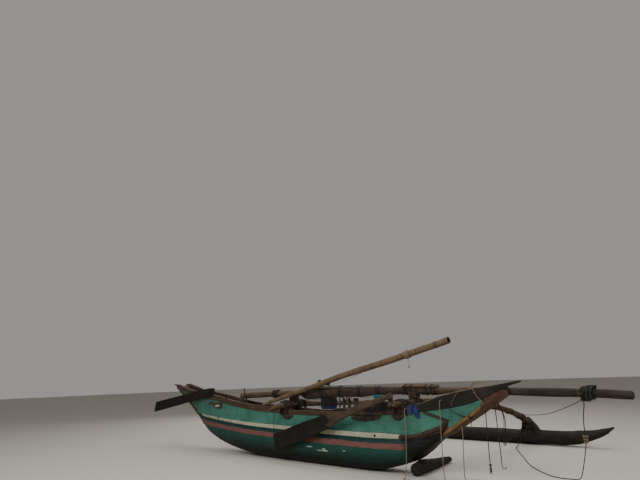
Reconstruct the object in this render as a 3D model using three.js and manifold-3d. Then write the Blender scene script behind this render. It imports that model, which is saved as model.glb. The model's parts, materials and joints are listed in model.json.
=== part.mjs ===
// Beached outrigger canoe: a dugout hull with raised plank sides and raked ends, a single log float
// on two curved double booms, a furled sail on its long spar, and two hanging boards.
// Millimetres. +X to the bow, +Y to the float, +Z up. The origin is on the floor, under the middle
// of the hull's flat keel strip.
import * as THREE from 'three';
import { mergeVertices } from 'three/addons/utils/BufferGeometryUtils.js';
import Module from 'manifold-3d';

const wasm = await Module();
wasm.setup();

// Driving dimensions
const GAP = 0.3;                 // clearance between pieces that touch
const HULL_WALL = 45;
const PLANK = 28;                // side planks
const END_BOARD = 56;            // thickness of the raked end boards
const RAIL = { width: 72, proud: 14 };
const SPAR_LINE = { y: 34, run: 0.0535 };   // plan of the spar: offset amidships, sideways run
const FLOAT_Y = 4200;
const FORE_BOOM_X = 2830;
const AFT_BOOM_X = 0;
const BOOM_RADIUS = 43;
const SPAR_RADIUS = 57;
const BOARD_THICK = 34;
const LEEBOARD_Y = -460;
const STEERING_Y = -270;
const ROPE = 22;                 // built-up thickness of a rope lashing

// Dugout stations: distance along the hull, keel height, seam height, half beam, half breadth at seam
const DUGOUT = [
  { x: -3450, keel: 735, seam: 801, beam: 122, seamHalf: 120 },
  { x: -3250, keel: 590, seam: 738, beam: 168, seamHalf: 148 },
  { x: -2950, keel: 400, seam: 700, beam: 228, seamHalf: 185 },
  { x: -2500, keel: 240, seam: 663, beam: 282, seamHalf: 222 },
  { x: -1900, keel: 115, seam: 622, beam: 322, seamHalf: 252 },
  { x: -1300, keel: 38, seam: 588, beam: 345, seamHalf: 272 },
  { x: -800, keel: 0, seam: 571, beam: 350, seamHalf: 280 },
  { x: 600, keel: 0, seam: 541, beam: 350, seamHalf: 280 },
  { x: 2100, keel: 0, seam: 520, beam: 338, seamHalf: 270 },
  { x: 2500, keel: 75, seam: 526, beam: 312, seamHalf: 252 },
  { x: 2830, keel: 170, seam: 532, beam: 270, seamHalf: 228 },
  { x: 3080, keel: 285, seam: 553, beam: 216, seamHalf: 202 },
  { x: 3280, keel: 425, seam: 604, beam: 160, seamHalf: 172 },
  { x: 3430, keel: 540, seam: 645, beam: 128, seamHalf: 148 },
  { x: 3540, keel: 612, seam: 665, beam: 112, seamHalf: 126 },
];

// Side stations: distance along, height of the planks' top, half breadth there, height of the rail
const SIDE = [
  { x: -4500, top: 1441.5, half: 192, rail: 28 },
  { x: -4400, top: 1441.5, half: 192, rail: 34 },
  { x: -4250, top: 1368, half: 192, rail: 78 },
  { x: -4070, top: 1312, half: 192, rail: 90 },
  { x: -3580, top: 1216, half: 194, rail: 98 },
  { x: -2680, top: 1102, half: 200, rail: 110 },
  { x: -2140, top: 1026, half: 205, rail: 110 },
  { x: -1570, top: 945, half: 210, rail: 104 },
  { x: -650, top: 880, half: 214, rail: 100 },
  { x: 0, top: 862, half: 215, rail: 86 },
  { x: 400, top: 850, half: 215, rail: 76 },
  { x: 960, top: 850, half: 214, rail: 76 },
  { x: 1720, top: 868, half: 210, rail: 84 },
  { x: 2400, top: 890, half: 204, rail: 96 },
  { x: 3020, top: 944, half: 196, rail: 112 },
  { x: 3270, top: 980, half: 190, rail: 116 },
  { x: 3400, top: 991, half: 188, rail: 146 },
  { x: 3590, top: 1008, half: 184, rail: 200 },
  { x: 3940, top: 1060, half: 178, rail: 206 },
  { x: 4285, top: 1158, half: 174, rail: 162 },
  { x: 4520, top: 1276, half: 172, rail: 76 },
  { x: 4700, top: 1342, half: 170, rail: 40 },
  { x: 4880, top: 1392, half: 168, rail: 20 },
];

// Lower faces of the raked end boards: distance along and height
const BOW_STEM = [{ x: 3540.5, z: 609 }, { x: 4095, z: 922 }, { x: 4520, z: 1191.5 }];
const STERN_STEM = [
  { x: -4400, z: 1385 }, { x: -4035, z: 1165 }, { x: -3690, z: 935 }, { x: -3450.5, z: 745 },
];
const BOW_FOOT = BOW_STEM[0].x;
const STERN_FOOT = STERN_STEM[STERN_STEM.length - 1].x;

// Piecewise-linear value of one column of a station table
function at(table, column, x) {
  if (x <= table[0].x) return table[0][column];
  for (let i = 1; i < table.length; i += 1) {
    const a = table[i - 1];
    const b = table[i];
    if (x <= b.x) return a[column] + (b[column] - a[column]) * (x - a.x) / (b.x - a.x);
  }
  return table[table.length - 1][column];
}

// Height of the lower edge of the side planks: the seam, or the top face of an end board
function lowerEdge(x) {
  if (x > BOW_FOOT) return at(BOW_STEM, 'z', x) + END_BOARD + GAP;
  if (x < STERN_FOOT) return at(STERN_STEM, 'z', x) + END_BOARD + GAP;
  return at(DUGOUT, 'seam', x) + GAP;
}

// Half breadth of the outer face of the side planks
function sideHalf(x, z) {
  const low = lowerEdge(x);
  const top = at(SIDE, 'top', x);
  const share = THREE.MathUtils.clamp((z - low) / Math.max(top - low, 1), 0, 1);
  const topHalf = at(SIDE, 'half', x);
  const spread = Math.max(Math.abs(x) - 3500, 0) / 800;
  const seamHalf = THREE.MathUtils.lerp(at(DUGOUT, 'seamHalf', x), topHalf, Math.min(spread, 1));
  return THREE.MathUtils.lerp(seamHalf, topHalf, share);
}

// Solid skinned over a row of closed rings of equal, even point counts. Each end is capped by
// strips between the points of the ring's first half and those facing them in its second half.
function skin(rings) {
  const count = rings[0].length;
  const positions = rings.flat().flatMap((p) => [p.x, p.y, p.z]);
  const index = [];
  for (let r = 0; r + 1 < rings.length; r += 1) {
    for (let i = 0; i < count; i += 1) {
      const a = r * count + i;
      const b = r * count + (i + 1) % count;
      index.push(a, b, b + count, a, b + count, a + count);
    }
  }
  const last = (rings.length - 1) * count;
  for (let i = 0; i + 1 < count / 2; i += 1) {
    const [a, b, c, d] = [i, i + 1, count - 2 - i, count - 1 - i];
    index.push(c, b, a, d, c, a);
    index.push(a + last, b + last, c + last, a + last, c + last, d + last);
  }
  const geometry = new THREE.BufferGeometry();
  geometry.setAttribute('position', new THREE.Float32BufferAttribute(positions, 3));
  geometry.setIndex(index);
  return outward(geometry);
}

// Turns the faces outwards where the volume comes out negative
function outward(geometry) {
  const p = geometry.getAttribute('position');
  const index = Array.from(geometry.getIndex().array);
  const [a, b, c] = [new THREE.Vector3(), new THREE.Vector3(), new THREE.Vector3()];
  let volume = 0;
  for (let i = 0; i < index.length; i += 3) {
    a.fromBufferAttribute(p, index[i]);
    b.fromBufferAttribute(p, index[i + 1]);
    c.fromBufferAttribute(p, index[i + 2]);
    volume += a.dot(b.cross(c));
  }
  if (volume < 0) index.reverse();
  geometry.setIndex(index);
  return geometry;
}

function toSolid(geometry) {
  const plain = geometry.clone();
  plain.deleteAttribute('normal');
  plain.deleteAttribute('uv');
  const merged = mergeVertices(plain, 1e-3);
  return new wasm.Manifold(new wasm.Mesh({
    numProp: 3,
    vertProperties: new Float32Array(merged.getAttribute('position').array),
    triVerts: new Uint32Array(merged.getIndex().array),
  }));
}

function fromSolid(solid) {
  const mesh = solid.getMesh();
  const geometry = new THREE.BufferGeometry();
  geometry.setAttribute('position', new THREE.BufferAttribute(mesh.vertProperties, 3));
  geometry.setIndex(new THREE.BufferAttribute(mesh.triVerts, 1));
  return geometry;
}

function join(geometries) {
  return fromSolid(geometries.map(toSolid).reduce((sum, next) => sum.add(next)));
}

function cut(geometry, tools) {
  return fromSolid(tools.map(toSolid).reduce((rest, tool) => rest.subtract(tool), toSolid(geometry)));
}

// Materials, one for each finish
function finish(color, roughness = 0.8, metalness = 0) {
  return new THREE.MeshStandardMaterial({ color, roughness, metalness });
}
const FINISH = {
  hullPaint: finish('#1e3a36', 0.6),
  topsidePaint: finish('#4f8579', 0.6),
  whitePaint: finish('#b9b7a8', 0.65),
  oldWood: finish('#574a3d'),
  railWood: finish('#6a5b4b'),
  endWood: finish('#80643a'),
  boardWood: finish('#33302e'),
  poleWood: finish('#6f5f4d'),
  bamboo: finish('#8a7352', 0.7),
  sailcloth: finish('#3a322e', 0.95),
  rope: finish('#4d4a3e', 0.95),
  blueRope: finish('#2f6a72', 0.9),
};

const canoe = new THREE.Group();

function add(name, geometry, material, parent = canoe) {
  const mesh = new THREE.Mesh(geometry, material);
  mesh.name = name;
  parent.add(mesh);
  return mesh;
}

const SIDES = [
  { name: 'starboard', sign: -1 },
  { name: 'port', sign: 1 },
];

// Dugout log, hollowed from above. The flat keel strip and the waist are shares of beam and height;
// the hollow's floor and its overshoot above the seam are multiples of the wall.
const SECTION = { flat: 0.32, waist: 0.56, bellySteps: 6, flareSteps: 3 };
const HOLLOW = { floor: 1.4, overshoot: 4, from: -3300, to: 3300, narrowest: 20 };

function dugoutRing(s, wall) {
  const keel = s.keel + wall * HOLLOW.floor;
  const seam = s.seam + wall * HOLLOW.overshoot;
  const half = Math.max(s.seamHalf - wall, HOLLOW.narrowest);
  const beam = Math.max(s.beam - wall, HOLLOW.narrowest);
  const waist = s.keel + SECTION.waist * (s.seam - s.keel);
  const flat = SECTION.flat * beam;
  const side = [];
  for (let i = 0; i <= SECTION.bellySteps; i += 1) {
    const t = (i / SECTION.bellySteps) * Math.PI / 2;
    side.push([flat + (beam - flat) * Math.sin(t), waist - (waist - keel) * Math.cos(t)]);
  }
  for (let i = 1; i <= SECTION.flareSteps; i += 1) {
    const t = i / SECTION.flareSteps;
    side.push([beam - (beam - half) * t * t, waist + (s.seam - waist) * t]);
  }
  if (wall > 0) side.push([half, seam]);
  const right = side.map(([y, z]) => new THREE.Vector3(s.x, y, z));
  const left = side.map(([y, z]) => new THREE.Vector3(s.x, -y, z)).reverse();
  return [...right, ...left];
}

function dugout() {
  const outer = skin(DUGOUT.map((s) => dugoutRing(s, 0)));
  const hollow = DUGOUT.filter((s) => s.x > HOLLOW.from && s.x < HOLLOW.to);
  return cut(outer, [skin(hollow.map((s) => dugoutRing(s, HULL_WALL)))]);
}
add('dugout_hull', dugout(), FINISH.hullPaint);

// Side planking: columns of points from the lower edge to the top, with the hull's own curve
function sidePlank(columns, sign) {
  const rings = columns.map((column) => {
    const face = column.map(([x, z]) => new THREE.Vector3(x, sign * sideHalf(x, z), z));
    const back = column.map(([x, z]) => new THREE.Vector3(x, sign * (sideHalf(x, z) - PLANK), z));
    return [...face, ...back.reverse()];
  });
  return skin(rings);
}

function column(x) {
  const low = lowerEdge(x);
  const top = at(SIDE, 'top', x) - GAP;
  return [[x, low], [x, (low + top) / 2], [x, top]];
}

// The bow planks meet the side planks along a joint shaped like an arrowhead
const ARROW = { foot: [3541, 666], tip: [3665, 850], head: [3270, 978] };

function arrowColumn(shift) {
  return [ARROW.foot, ARROW.tip, ARROW.head].map(([x, z]) => [x + shift, z]);
}

const JOINT_FILLER = 2;          // closes the joint where a batten is fitted over it
const PLANK_START = -4290;
const PLANK_END = 4270;
const BOW_KNEE = BOW_STEM[1].x;
const SIDE_PLANK_X = [PLANK_START, ...[...STERN_STEM, ...DUGOUT, ...SIDE].map((s) => s.x)]
  .filter((x) => x >= PLANK_START && x < 3000)
  .sort((a, b) => a - b);

const planking = {};
SIDES.forEach(({ name, sign }) => {
  const long = [
    ...SIDE_PLANK_X.map(column),
    [[3080, lowerEdge(3080)], [3080, 780], [3020, at(SIDE, 'top', 3020) - GAP]],
    [[3280, lowerEdge(3280)], [3270, 800], [3100, at(SIDE, 'top', 3100) - GAP]],
    [[3430, lowerEdge(3430)], [3470, 830], [3180, at(SIDE, 'top', 3180) - GAP]],
    arrowColumn(-GAP / 2),
  ];
  const sidePiece = sidePlank(long, sign);
  add(`side_plank_${name}`, sidePiece, FINISH.topsidePaint);
  const short = [
    arrowColumn(GAP / 2),
    [[3750, lowerEdge(3750)], [3830, 950], [3590, at(SIDE, 'top', 3590) - GAP]],
    column(3940),
    column(BOW_KNEE),
    column(PLANK_END),
  ];
  const bowPiece = sidePlank(short, sign);
  add(`bow_plank_${name}`, bowPiece, FINISH.topsidePaint);
  const joint = sidePlank([arrowColumn(-JOINT_FILLER), arrowColumn(JOINT_FILLER)], sign);
  planking[sign] = [sidePiece, bowPiece, joint];
});

// A piece sunk BEDDING deep into the planking is cut back to lie on its outer face
const BEDDING = 10;

function bed(geometry, sign) {
  return cut(geometry, planking[sign].map((piece) => piece.clone().translate(0, sign * GAP, 0)));
}

// Raked end boards that close both ends between the side planks. Past the bow planks the bow's head
// block fills the height up to the horn planks.
const END_PROUD = 8;
const HEAD_BLOCK = { from: PLANK_END + 1, full: PLANK_END + 2 };

function endBoard(xs, stem) {
  return skin(xs.map((x) => {
    const low = at(stem, 'z', x);
    const high = x < HEAD_BLOCK.full ? low + END_BOARD : at(SIDE, 'top', x) - GAP;
    const half = sideHalf(x, 0) + END_PROUD;
    return [[-half, low], [half, low], [half, high], [-half, high]]
      .map(([y, z]) => new THREE.Vector3(x, y, z));
  }));
}
const BOW_BOARD_X = [BOW_FOOT, BOW_KNEE, HEAD_BLOCK.from, HEAD_BLOCK.full, 4285, BOW_STEM[2].x];
add('bow_end_board', endBoard(BOW_BOARD_X, BOW_STEM), FINISH.endWood);
add('stern_end_board', endBoard(STERN_STEM.map((s) => s.x), STERN_STEM), FINISH.endWood);

// Rails on the planks' top edges, and the horn planks that carry them to the bow's tip. The port horn
// plank is lower beside the spar that passes it, and ends with the head block.
const HORN_WIDTH = 56;
const HORN_START = 3020;
const FULL_HEIGHT = [{ x: 0, share: 1 }];
const PORT_HEIGHT = [
  { x: 3020, share: 1 }, { x: 3590, share: 0.74 }, { x: 4285, share: 0.74 }, { x: 4520, share: 1 },
];

function railTop(x) {
  return at(SIDE, 'top', x) + at(SIDE, 'rail', x);
}

function railBar(xs, sign, width, height) {
  return skin(xs.map((x) => {
    const outer = sign * (at(SIDE, 'half', x) + RAIL.proud);
    const inner = outer - sign * width;
    const low = at(SIDE, 'top', x);
    const top = low + at(height, 'share', x) * at(SIDE, 'rail', x);
    return [
      new THREE.Vector3(x, outer, low), new THREE.Vector3(x, outer, top),
      new THREE.Vector3(x, inner, top), new THREE.Vector3(x, inner, low),
    ];
  }));
}

const stations = SIDE.map((s) => s.x);
const RAIL_X = [...stations.filter((x) => x < HORN_START), HORN_START - 1];
const HORN_X = stations.filter((x) => x >= HORN_START);
SIDES.forEach(({ name, sign }) => {
  add(`gunwale_rail_${name}`, railBar(RAIL_X, sign, RAIL.width, FULL_HEIGHT), FINISH.railWood);
  const hornEnd = sign > 0 ? BOW_STEM[2].x : stations[stations.length - 1];
  const hornX = HORN_X.filter((x) => x <= hornEnd);
  const hornHeight = sign > 0 ? PORT_HEIGHT : FULL_HEIGHT;
  add(`bow_horn_plank_${name}`, railBar(hornX, sign, HORN_WIDTH, hornHeight), FINISH.oldWood);
});

// Rubbing battens over the seam, and the arrowhead battens over the bow joint
const BATTEN = { proud: 24, rise: 12, chamfer: 6 };
const BATTEN_X = [-3150, -2950, -2500, -1900, -1300, -800, 0, 600, 2100, 2500, 2830, 2950, 3080, 3235];
const BATTEN_HEIGHT = [
  { x: -3150, height: 48 }, { x: -2500, height: 58 }, { x: -1300, height: 72 }, { x: 600, height: 76 },
  { x: 2100, height: 84 }, { x: 2500, height: 84 }, { x: 2950, height: 62 }, { x: 3235, height: 50 },
];
const BATTEN_LIFT = [{ x: 2950, lift: 0 }, { x: 3235, lift: 24 }];

function batten(xs, sign) {
  return skin(xs.map((x) => {
    const low = lowerEdge(x) + BATTEN.rise + at(BATTEN_LIFT, 'lift', x);
    const high = low + at(BATTEN_HEIGHT, 'height', x);
    return [
      [sideHalf(x, low) - BEDDING, low], [sideHalf(x, low) + BATTEN.proud, low + BATTEN.chamfer],
      [sideHalf(x, high) + BATTEN.proud, high - BATTEN.chamfer], [sideHalf(x, high) - BEDDING, high],
    ].map(([y, z]) => new THREE.Vector3(x, sign * y, z));
  }));
}

function arrowBatten(sign) {
  const line = [
    { inner: [3262, 946], outer: [3286, 976] },
    { inner: [3610, 842], outer: [3690, 856] },
    { inner: [3535, 772], outer: [3570, 730] },
    { inner: [3385, 722], outer: [3405, 674] },
    { inner: [3250, 682], outer: [3262, 634] },
  ];
  const ring = ([x, z], lift) => new THREE.Vector3(x, sign * (sideHalf(x, z) + lift), z);
  const rings = line.map(({ inner, outer }) => [
    ring(inner, -BEDDING), ring(inner, BATTEN.proud), ring(outer, BATTEN.proud), ring(outer, -BEDDING),
  ]);
  return skin(rings);
}

SIDES.forEach(({ name, sign }) => {
  add(`rub_batten_${name}`, bed(batten(BATTEN_X, sign), sign), FINISH.whitePaint);
  add(`arrow_batten_${name}`, bed(arrowBatten(sign), sign), FINISH.endWood);
});

// Box between two corners
function block(low, high) {
  const size = high.map((v, i) => v - low[i]);
  const box = new THREE.BoxGeometry(...size);
  box.translate(...low.map((v, i) => v + size[i] / 2));
  return box;
}

// Thwarts between the side planks
const THWARTS = [
  { name: 'thwart_stern', x: -2450, z: 900, length: 190 },
  { name: 'thwart_middle', x: 1000, z: 760, length: 210 },
  { name: 'thwart_bow', x: 3250, z: 880, length: 170 },
];
const THWART_THICK = 34;
const SEAT = { rise: 4, margin: 24 };   // the worn seat stands clear of the planks that lean over it
THWARTS.forEach(({ name, x, z, length }) => {
  const half = sideHalf(x, z) - PLANK + BEDDING;
  const top = z + THWART_THICK;
  const plank = join([
    block([x - length / 2, -half, z], [x + length / 2, half, top - SEAT.rise]),
    block([x - length / 2, SEAT.margin - half, z + SEAT.rise], [x + length / 2, half - SEAT.margin, top]),
  ]);
  const walls = SIDES.flatMap(({ sign }) => (
    planking[sign].map((piece) => piece.clone().translate(0, -sign * GAP, 0))));
  add(name, cut(plank, walls), FINISH.oldWood);
});

// Round pole through a row of points, each with its own radius
function pole(points, radii, sides, grow = 0) {
  const up = new THREE.Vector3(0, 0, 1);
  const rings = points.map((point, i) => {
    const before = points[Math.max(i - 1, 0)];
    const after = points[Math.min(i + 1, points.length - 1)];
    const way = new THREE.Vector3().subVectors(after, before).normalize();
    const across = new THREE.Vector3().crossVectors(up, way).normalize();
    const over = new THREE.Vector3().crossVectors(way, across);
    return Array.from({ length: sides }, (_, k) => {
      const t = (k + 0.5) / sides * 2 * Math.PI;
      const r = (radii[i] ?? radii[radii.length - 1]) + grow;
      return point.clone().addScaledVector(across, r * Math.cos(t)).addScaledVector(over, r * Math.sin(t));
    });
  });
  return skin(rings);
}

// Float log: distance along, height of its middle, radius
const FLOAT_SIDES = 12;
const FLOAT_RADIUS = 148;
const FLOAT_MIDDLE = 1400;
const FLOAT_FLAT = FLOAT_RADIUS * Math.cos(Math.PI / FLOAT_SIDES);
const FLOAT_END = [
  { away: 2050, z: FLOAT_FLAT, radius: FLOAT_RADIUS },
  { away: 2350, z: 168, radius: 135 },
  { away: 2640, z: 222, radius: 106 },
  { away: 2850, z: 285, radius: 72 },
  { away: 3000, z: 346, radius: 40 },
  { away: 3100, z: 398, radius: 14 },
];

function floatLog(grow = 0) {
  const half = (sign) => FLOAT_END.map((e) => ({ ...e, x: FLOAT_MIDDLE + sign * e.away }));
  const row = [...half(-1).reverse(), ...half(1)];
  const points = row.map((e) => new THREE.Vector3(e.x, FLOAT_Y, e.z));
  return pole(points, row.map((e) => e.radius), FLOAT_SIDES, grow);
}
add('float_log', floatLog(), FINISH.oldWood);

// Booms: distance out from the hull's middle line, and height
const BOOM_OUTER = [
  { y: 2150, z: 930 }, { y: 2600, z: 876 }, { y: 2980, z: 814 }, { y: 3180, z: 767 }, { y: 3380, z: 713 },
  { y: 3580, z: 662 }, { y: 3780, z: 596 }, { y: 4000, z: 508 }, { y: 4160, z: 406 }, { y: 4320, z: 301 },
  { y: 4400, z: 254 },
];
const FORE_Z = railTop(FORE_BOOM_X + 2 * BOOM_RADIUS) + BOOM_RADIUS;
const AFT_Z = railTop(AFT_BOOM_X - 2 * BOOM_RADIUS) + BOOM_RADIUS + 2;
const SPIKE_RADIUS = 70;         // the aft pole's thick butt, pointed at its starboard end
const SPIKE_Z = AFT_Z + SPIKE_RADIUS - BOOM_RADIUS;
const AFT_POLE_X = 46;           // of each aft pole's middle from the boom's
const FORE_LINE = [
  { y: -430, z: FORE_Z }, { y: 300, z: FORE_Z }, { y: 1000, z: FORE_Z - 12 }, { y: 1600, z: FORE_Z - 62 },
  ...BOOM_OUTER,
].map((p) => ({ ...p, radius: BOOM_RADIUS }));
const AFT_LINE = [
  { y: -685, z: AFT_Z - 85, radius: 8 }, { y: -490, z: AFT_Z - 6, radius: 50 },
  { y: -330, z: SPIKE_Z, radius: SPIKE_RADIUS }, { y: 330, z: SPIKE_Z, radius: SPIKE_RADIUS },
  { y: 620, z: AFT_Z - 2, radius: 46 }, { y: 1000, z: AFT_Z - 12, radius: BOOM_RADIUS },
  { y: 1600, z: AFT_Z - 30, radius: BOOM_RADIUS },
  ...BOOM_OUTER.map((p) => ({ ...p, radius: BOOM_RADIUS })),
];
const AFT_SECOND = AFT_LINE.filter((p) => p.y >= 620).map((p) => ({ ...p, radius: BOOM_RADIUS }));
const POLE_SIDES = 10;

function boomPole(line, x, grow = 0) {
  const points = line.map((p) => new THREE.Vector3(x, p.y, p.z));
  return pole(points, line.map((p) => p.radius), POLE_SIDES, grow);
}

const BOOM_POLES = [
  { name: 'fore_boom_pole_aft', line: FORE_LINE, x: FORE_BOOM_X - BOOM_RADIUS - GAP },
  { name: 'fore_boom_pole_fore', line: FORE_LINE, x: FORE_BOOM_X + BOOM_RADIUS + GAP },
  { name: 'aft_boom_pole_aft', line: AFT_LINE, x: AFT_BOOM_X - AFT_POLE_X },
  { name: 'aft_boom_pole_fore', line: AFT_SECOND, x: AFT_BOOM_X + AFT_POLE_X },
];
BOOM_POLES.forEach(({ name, line, x }) => add(name, boomPole(line, x), FINISH.poleWood));

// Rope lashing over a crossing: a sleeve round the poles and one round the rail, with both cut out
const LASHING = { alongPoles: 46, under: 1.6, alongRail: 58, drop: 60, rise: 16 };
const RAIL_HOLE = { aft: 400, fore: 186, floor: 700 };

function crossLashing(boomX, halfWide, boomZ, radius, lines, sign) {
  const y = sign * (at(SIDE, 'half', boomX) + RAIL.proud - RAIL.width / 2);
  const alongY = RAIL.width / 2 + LASHING.alongPoles;
  const alongX = halfWide + LASHING.alongRail;
  const sleeve = block(
    [boomX - halfWide - ROPE, y - alongY, boomZ - radius - ROPE * LASHING.under],
    [boomX + halfWide + ROPE, y + alongY, boomZ + radius + ROPE],
  );
  const rail = block(
    [boomX - alongX, y - RAIL.width / 2 - ROPE, railTop(boomX) - LASHING.drop],
    [boomX + alongX, y + RAIL.width / 2 + ROPE, railTop(boomX) + LASHING.rise],
  );
  const holes = lines.map(({ line, x }) => boomPole(line, x, GAP));
  const railHole = skin([boomX - RAIL_HOLE.aft, boomX, boomX + RAIL_HOLE.fore].map((x) => {
    const outer = sign * (at(SIDE, 'half', x) + RAIL.proud + GAP);
    const inner = outer - sign * (RAIL.width + 2 * GAP);
    const top = railTop(x) + GAP;
    return [
      new THREE.Vector3(x, outer, RAIL_HOLE.floor), new THREE.Vector3(x, outer, top),
      new THREE.Vector3(x, inner, top), new THREE.Vector3(x, inner, RAIL_HOLE.floor),
    ];
  }));
  return cut(join([sleeve, rail]), [...holes, railHole]);
}

const FORE_POLES = BOOM_POLES.slice(0, 2);
const AFT_POLES = BOOM_POLES.slice(2, 3);
SIDES.forEach(({ name, sign }) => {
  add(`fore_boom_lashing_${name}`,
    crossLashing(FORE_BOOM_X, 2 * BOOM_RADIUS, FORE_Z, BOOM_RADIUS, FORE_POLES, sign), FINISH.rope);
  const aftX = AFT_BOOM_X - AFT_POLE_X;
  add(`aft_boom_lashing_${name}`,
    crossLashing(aftX, SPIKE_RADIUS, SPIKE_Z, SPIKE_RADIUS, AFT_POLES, sign), FINISH.rope);
});

// Rope lashing that binds a boom's outer end to the float: a wrap round the log, and a hood over the
// poles
const WRAP = { beyond: 52, sides: 16, floor: 62, reach: 400 };
// Hood: distance out and height along the poles
const HOOD = [[4060, 470], [4160, 406], [4320, 301], [4380, 266]];

function floatLashing(boomX, lines) {
  const wide = 2 * BOOM_RADIUS + WRAP.beyond;
  const wrap = new THREE.CylinderGeometry(FLOAT_RADIUS + ROPE, FLOAT_RADIUS + ROPE, 2 * wide, WRAP.sides);
  wrap.rotateZ(Math.PI / 2);
  wrap.translate(boomX, FLOAT_Y, FLOAT_FLAT);
  const hood = pole(
    HOOD.map(([y, z]) => new THREE.Vector3(boomX, y, z)), [2 * BOOM_RADIUS + ROPE], FLOAT_SIDES);
  const floor = block(
    [boomX - WRAP.reach, FLOAT_Y - WRAP.reach, -WRAP.reach],
    [boomX + WRAP.reach, FLOAT_Y + WRAP.reach, WRAP.floor],
  );
  const holes = lines.map(({ line, x }) => boomPole(line, x, GAP));
  return cut(join([wrap, hood]), [floatLog(GAP), floor, ...holes]);
}
add('fore_float_lashing', floatLashing(FORE_BOOM_X, FORE_POLES), FINISH.rope);
add('aft_float_lashing', floatLashing(AFT_BOOM_X, BOOM_POLES.slice(2)), FINISH.rope);

// Long spar with the sail furled round its middle
const SPAR = [
  { x: -1715, z: 1186 }, { x: -1140, z: 1208 }, { x: -400, z: 1228 }, { x: 400, z: 1255 },
  { x: 1400, z: 1282 }, { x: 2600, z: 1276 }, { x: 3330, z: 1264 }, { x: 4490, z: 1246 },
  { x: 5400, z: 1226 }, { x: 6095, z: 1194 },
];
const SPAR_SIDES = 12;
const CROSS_PIN = { x: -1585, radius: 15, length: 330, lean: 0.28 };

function onSpar(x, drop = 0) {
  return new THREE.Vector3(x, SPAR_LINE.y + SPAR_LINE.run * x, at(SPAR, 'z', x) - drop);
}

function spar(grow = 0) {
  const points = SPAR.map((p) => onSpar(p.x));
  return pole(points, [SPAR_RADIUS], SPAR_SIDES, grow);
}
add('long_spar', cut(spar(), [crossPin(GAP)]), FINISH.poleWood);

function crossPin(grow = 0) {
  const radius = CROSS_PIN.radius + grow;
  const peg = new THREE.CylinderGeometry(radius, radius, CROSS_PIN.length + 2 * grow, POLE_SIDES);
  peg.rotateX(Math.PI / 2 + CROSS_PIN.lean);
  peg.translate(...onSpar(CROSS_PIN.x));
  return peg;
}
add('spar_cross_pin', crossPin(), FINISH.oldWood);

const ROLL = [
  { x: 215, drop: 4, radius: 84 }, { x: 260, drop: 12, radius: 114 }, { x: 404, drop: 22, radius: 134 },
  { x: 920, drop: 12, radius: 114 }, { x: 1660, drop: 22, radius: 106 }, { x: 2030, drop: 4, radius: 84 },
  { x: 2600, drop: 2, radius: 70 }, { x: 3000, drop: 2, radius: 68 }, { x: 3330, drop: 0, radius: 66 },
];
const ROLL_SIDES = 14;

function sailRoll(grow = 0) {
  return pole(ROLL.map((p) => onSpar(p.x, p.drop)), ROLL.map((p) => p.radius), ROLL_SIDES, grow);
}
add('sail_roll', cut(sailRoll(), [spar(GAP)]), FINISH.sailcloth);

// Three sticks tied along the roll's upper shoulder: how far aside of the spar's line, and how high
const STICKS = { radius: 18, from: 2640, to: 3300, sunk: 4, aside: [-50, -22, 6] };

function rollStick(aside) {
  const points = [STICKS.from, STICKS.to].map((x) => {
    const reach = at(ROLL, 'radius', x) + STICKS.radius - STICKS.sunk;
    const point = onSpar(x, at(ROLL, 'drop', x));
    return point.add(new THREE.Vector3(0, aside, Math.sqrt(reach * reach - aside * aside)));
  });
  return pole(points, [STICKS.radius], POLE_SIDES);
}
add('roll_sticks', cut(join(STICKS.aside.map(rollStick)), [sailRoll(GAP)]), FINISH.oldWood);

// Saddle blocks between the booms and the spar, each cut to what it carries and stands on
const AFT_SADDLE = { low: [-110, -45, 1040], high: [20, 105, 1232] };
const FORE_SADDLE = { low: [2760, 112, FORE_Z + BOOM_RADIUS + ROPE + GAP], high: [2900, 250, 1246] };
const aftSeats = [boomPole(AFT_LINE, AFT_BOOM_X - AFT_POLE_X, GAP), spar(GAP)];
add('aft_spar_saddle', cut(block(AFT_SADDLE.low, AFT_SADDLE.high), aftSeats), FINISH.oldWood);
add('fore_spar_saddle', cut(block(FORE_SADDLE.low, FORE_SADDLE.high), [sailRoll(GAP)]), FINISH.oldWood);

// Rack of three posts on a cross plank laid over the rails
const RACK = { from: 1330, to: 1770, half: 225, thick: 30, postTop: 1150, postY: -20, inset: 5 };
const RACK_POSTS = [{ x: 1395, wide: 44 }, { x: 1528, wide: 52 }, { x: 1690, wide: 92 }];

function rack() {
  const foot = Math.max(railTop(RACK.from), railTop(RACK.to)) + GAP;
  const plank = block([RACK.from, -RACK.half, foot], [RACK.to, RACK.half, foot + RACK.thick]);
  const postFoot = foot + RACK.inset;
  const posts = RACK_POSTS.map(({ x, wide }) => {
    const post = new THREE.CylinderGeometry(wide / 2, wide / 2, RACK.postTop - postFoot, POLE_SIDES);
    post.rotateX(Math.PI / 2);
    post.translate(x, RACK.postY, (RACK.postTop + postFoot) / 2);
    return post;
  });
  return join([plank, ...posts]);
}
add('post_rack', rack(), FINISH.oldWood);

// Net bag slung under the furled sail
const NET_BAG = [
  { z: 940, along: 180, across: 44 }, { z: 975, along: 225, across: 62 },
  { z: 1060, along: 232, across: 66 },
  { z: 1140, along: 205, across: 58 }, { z: 1200, along: 170, across: 50 },
];
const NET_BAG_AT = { x: 930, y: 50, sides: 12 };
const netBag = skin(NET_BAG.map(({ z, along, across }) => (
  Array.from({ length: NET_BAG_AT.sides }, (_, k) => {
    const t = (k + 0.5) / NET_BAG_AT.sides * 2 * Math.PI;
    return new THREE.Vector3(NET_BAG_AT.x + along * Math.cos(t), NET_BAG_AT.y + across * Math.sin(t), z);
  }))));
add('net_bag', cut(netBag, [sailRoll(GAP)]), FINISH.rope);

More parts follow.
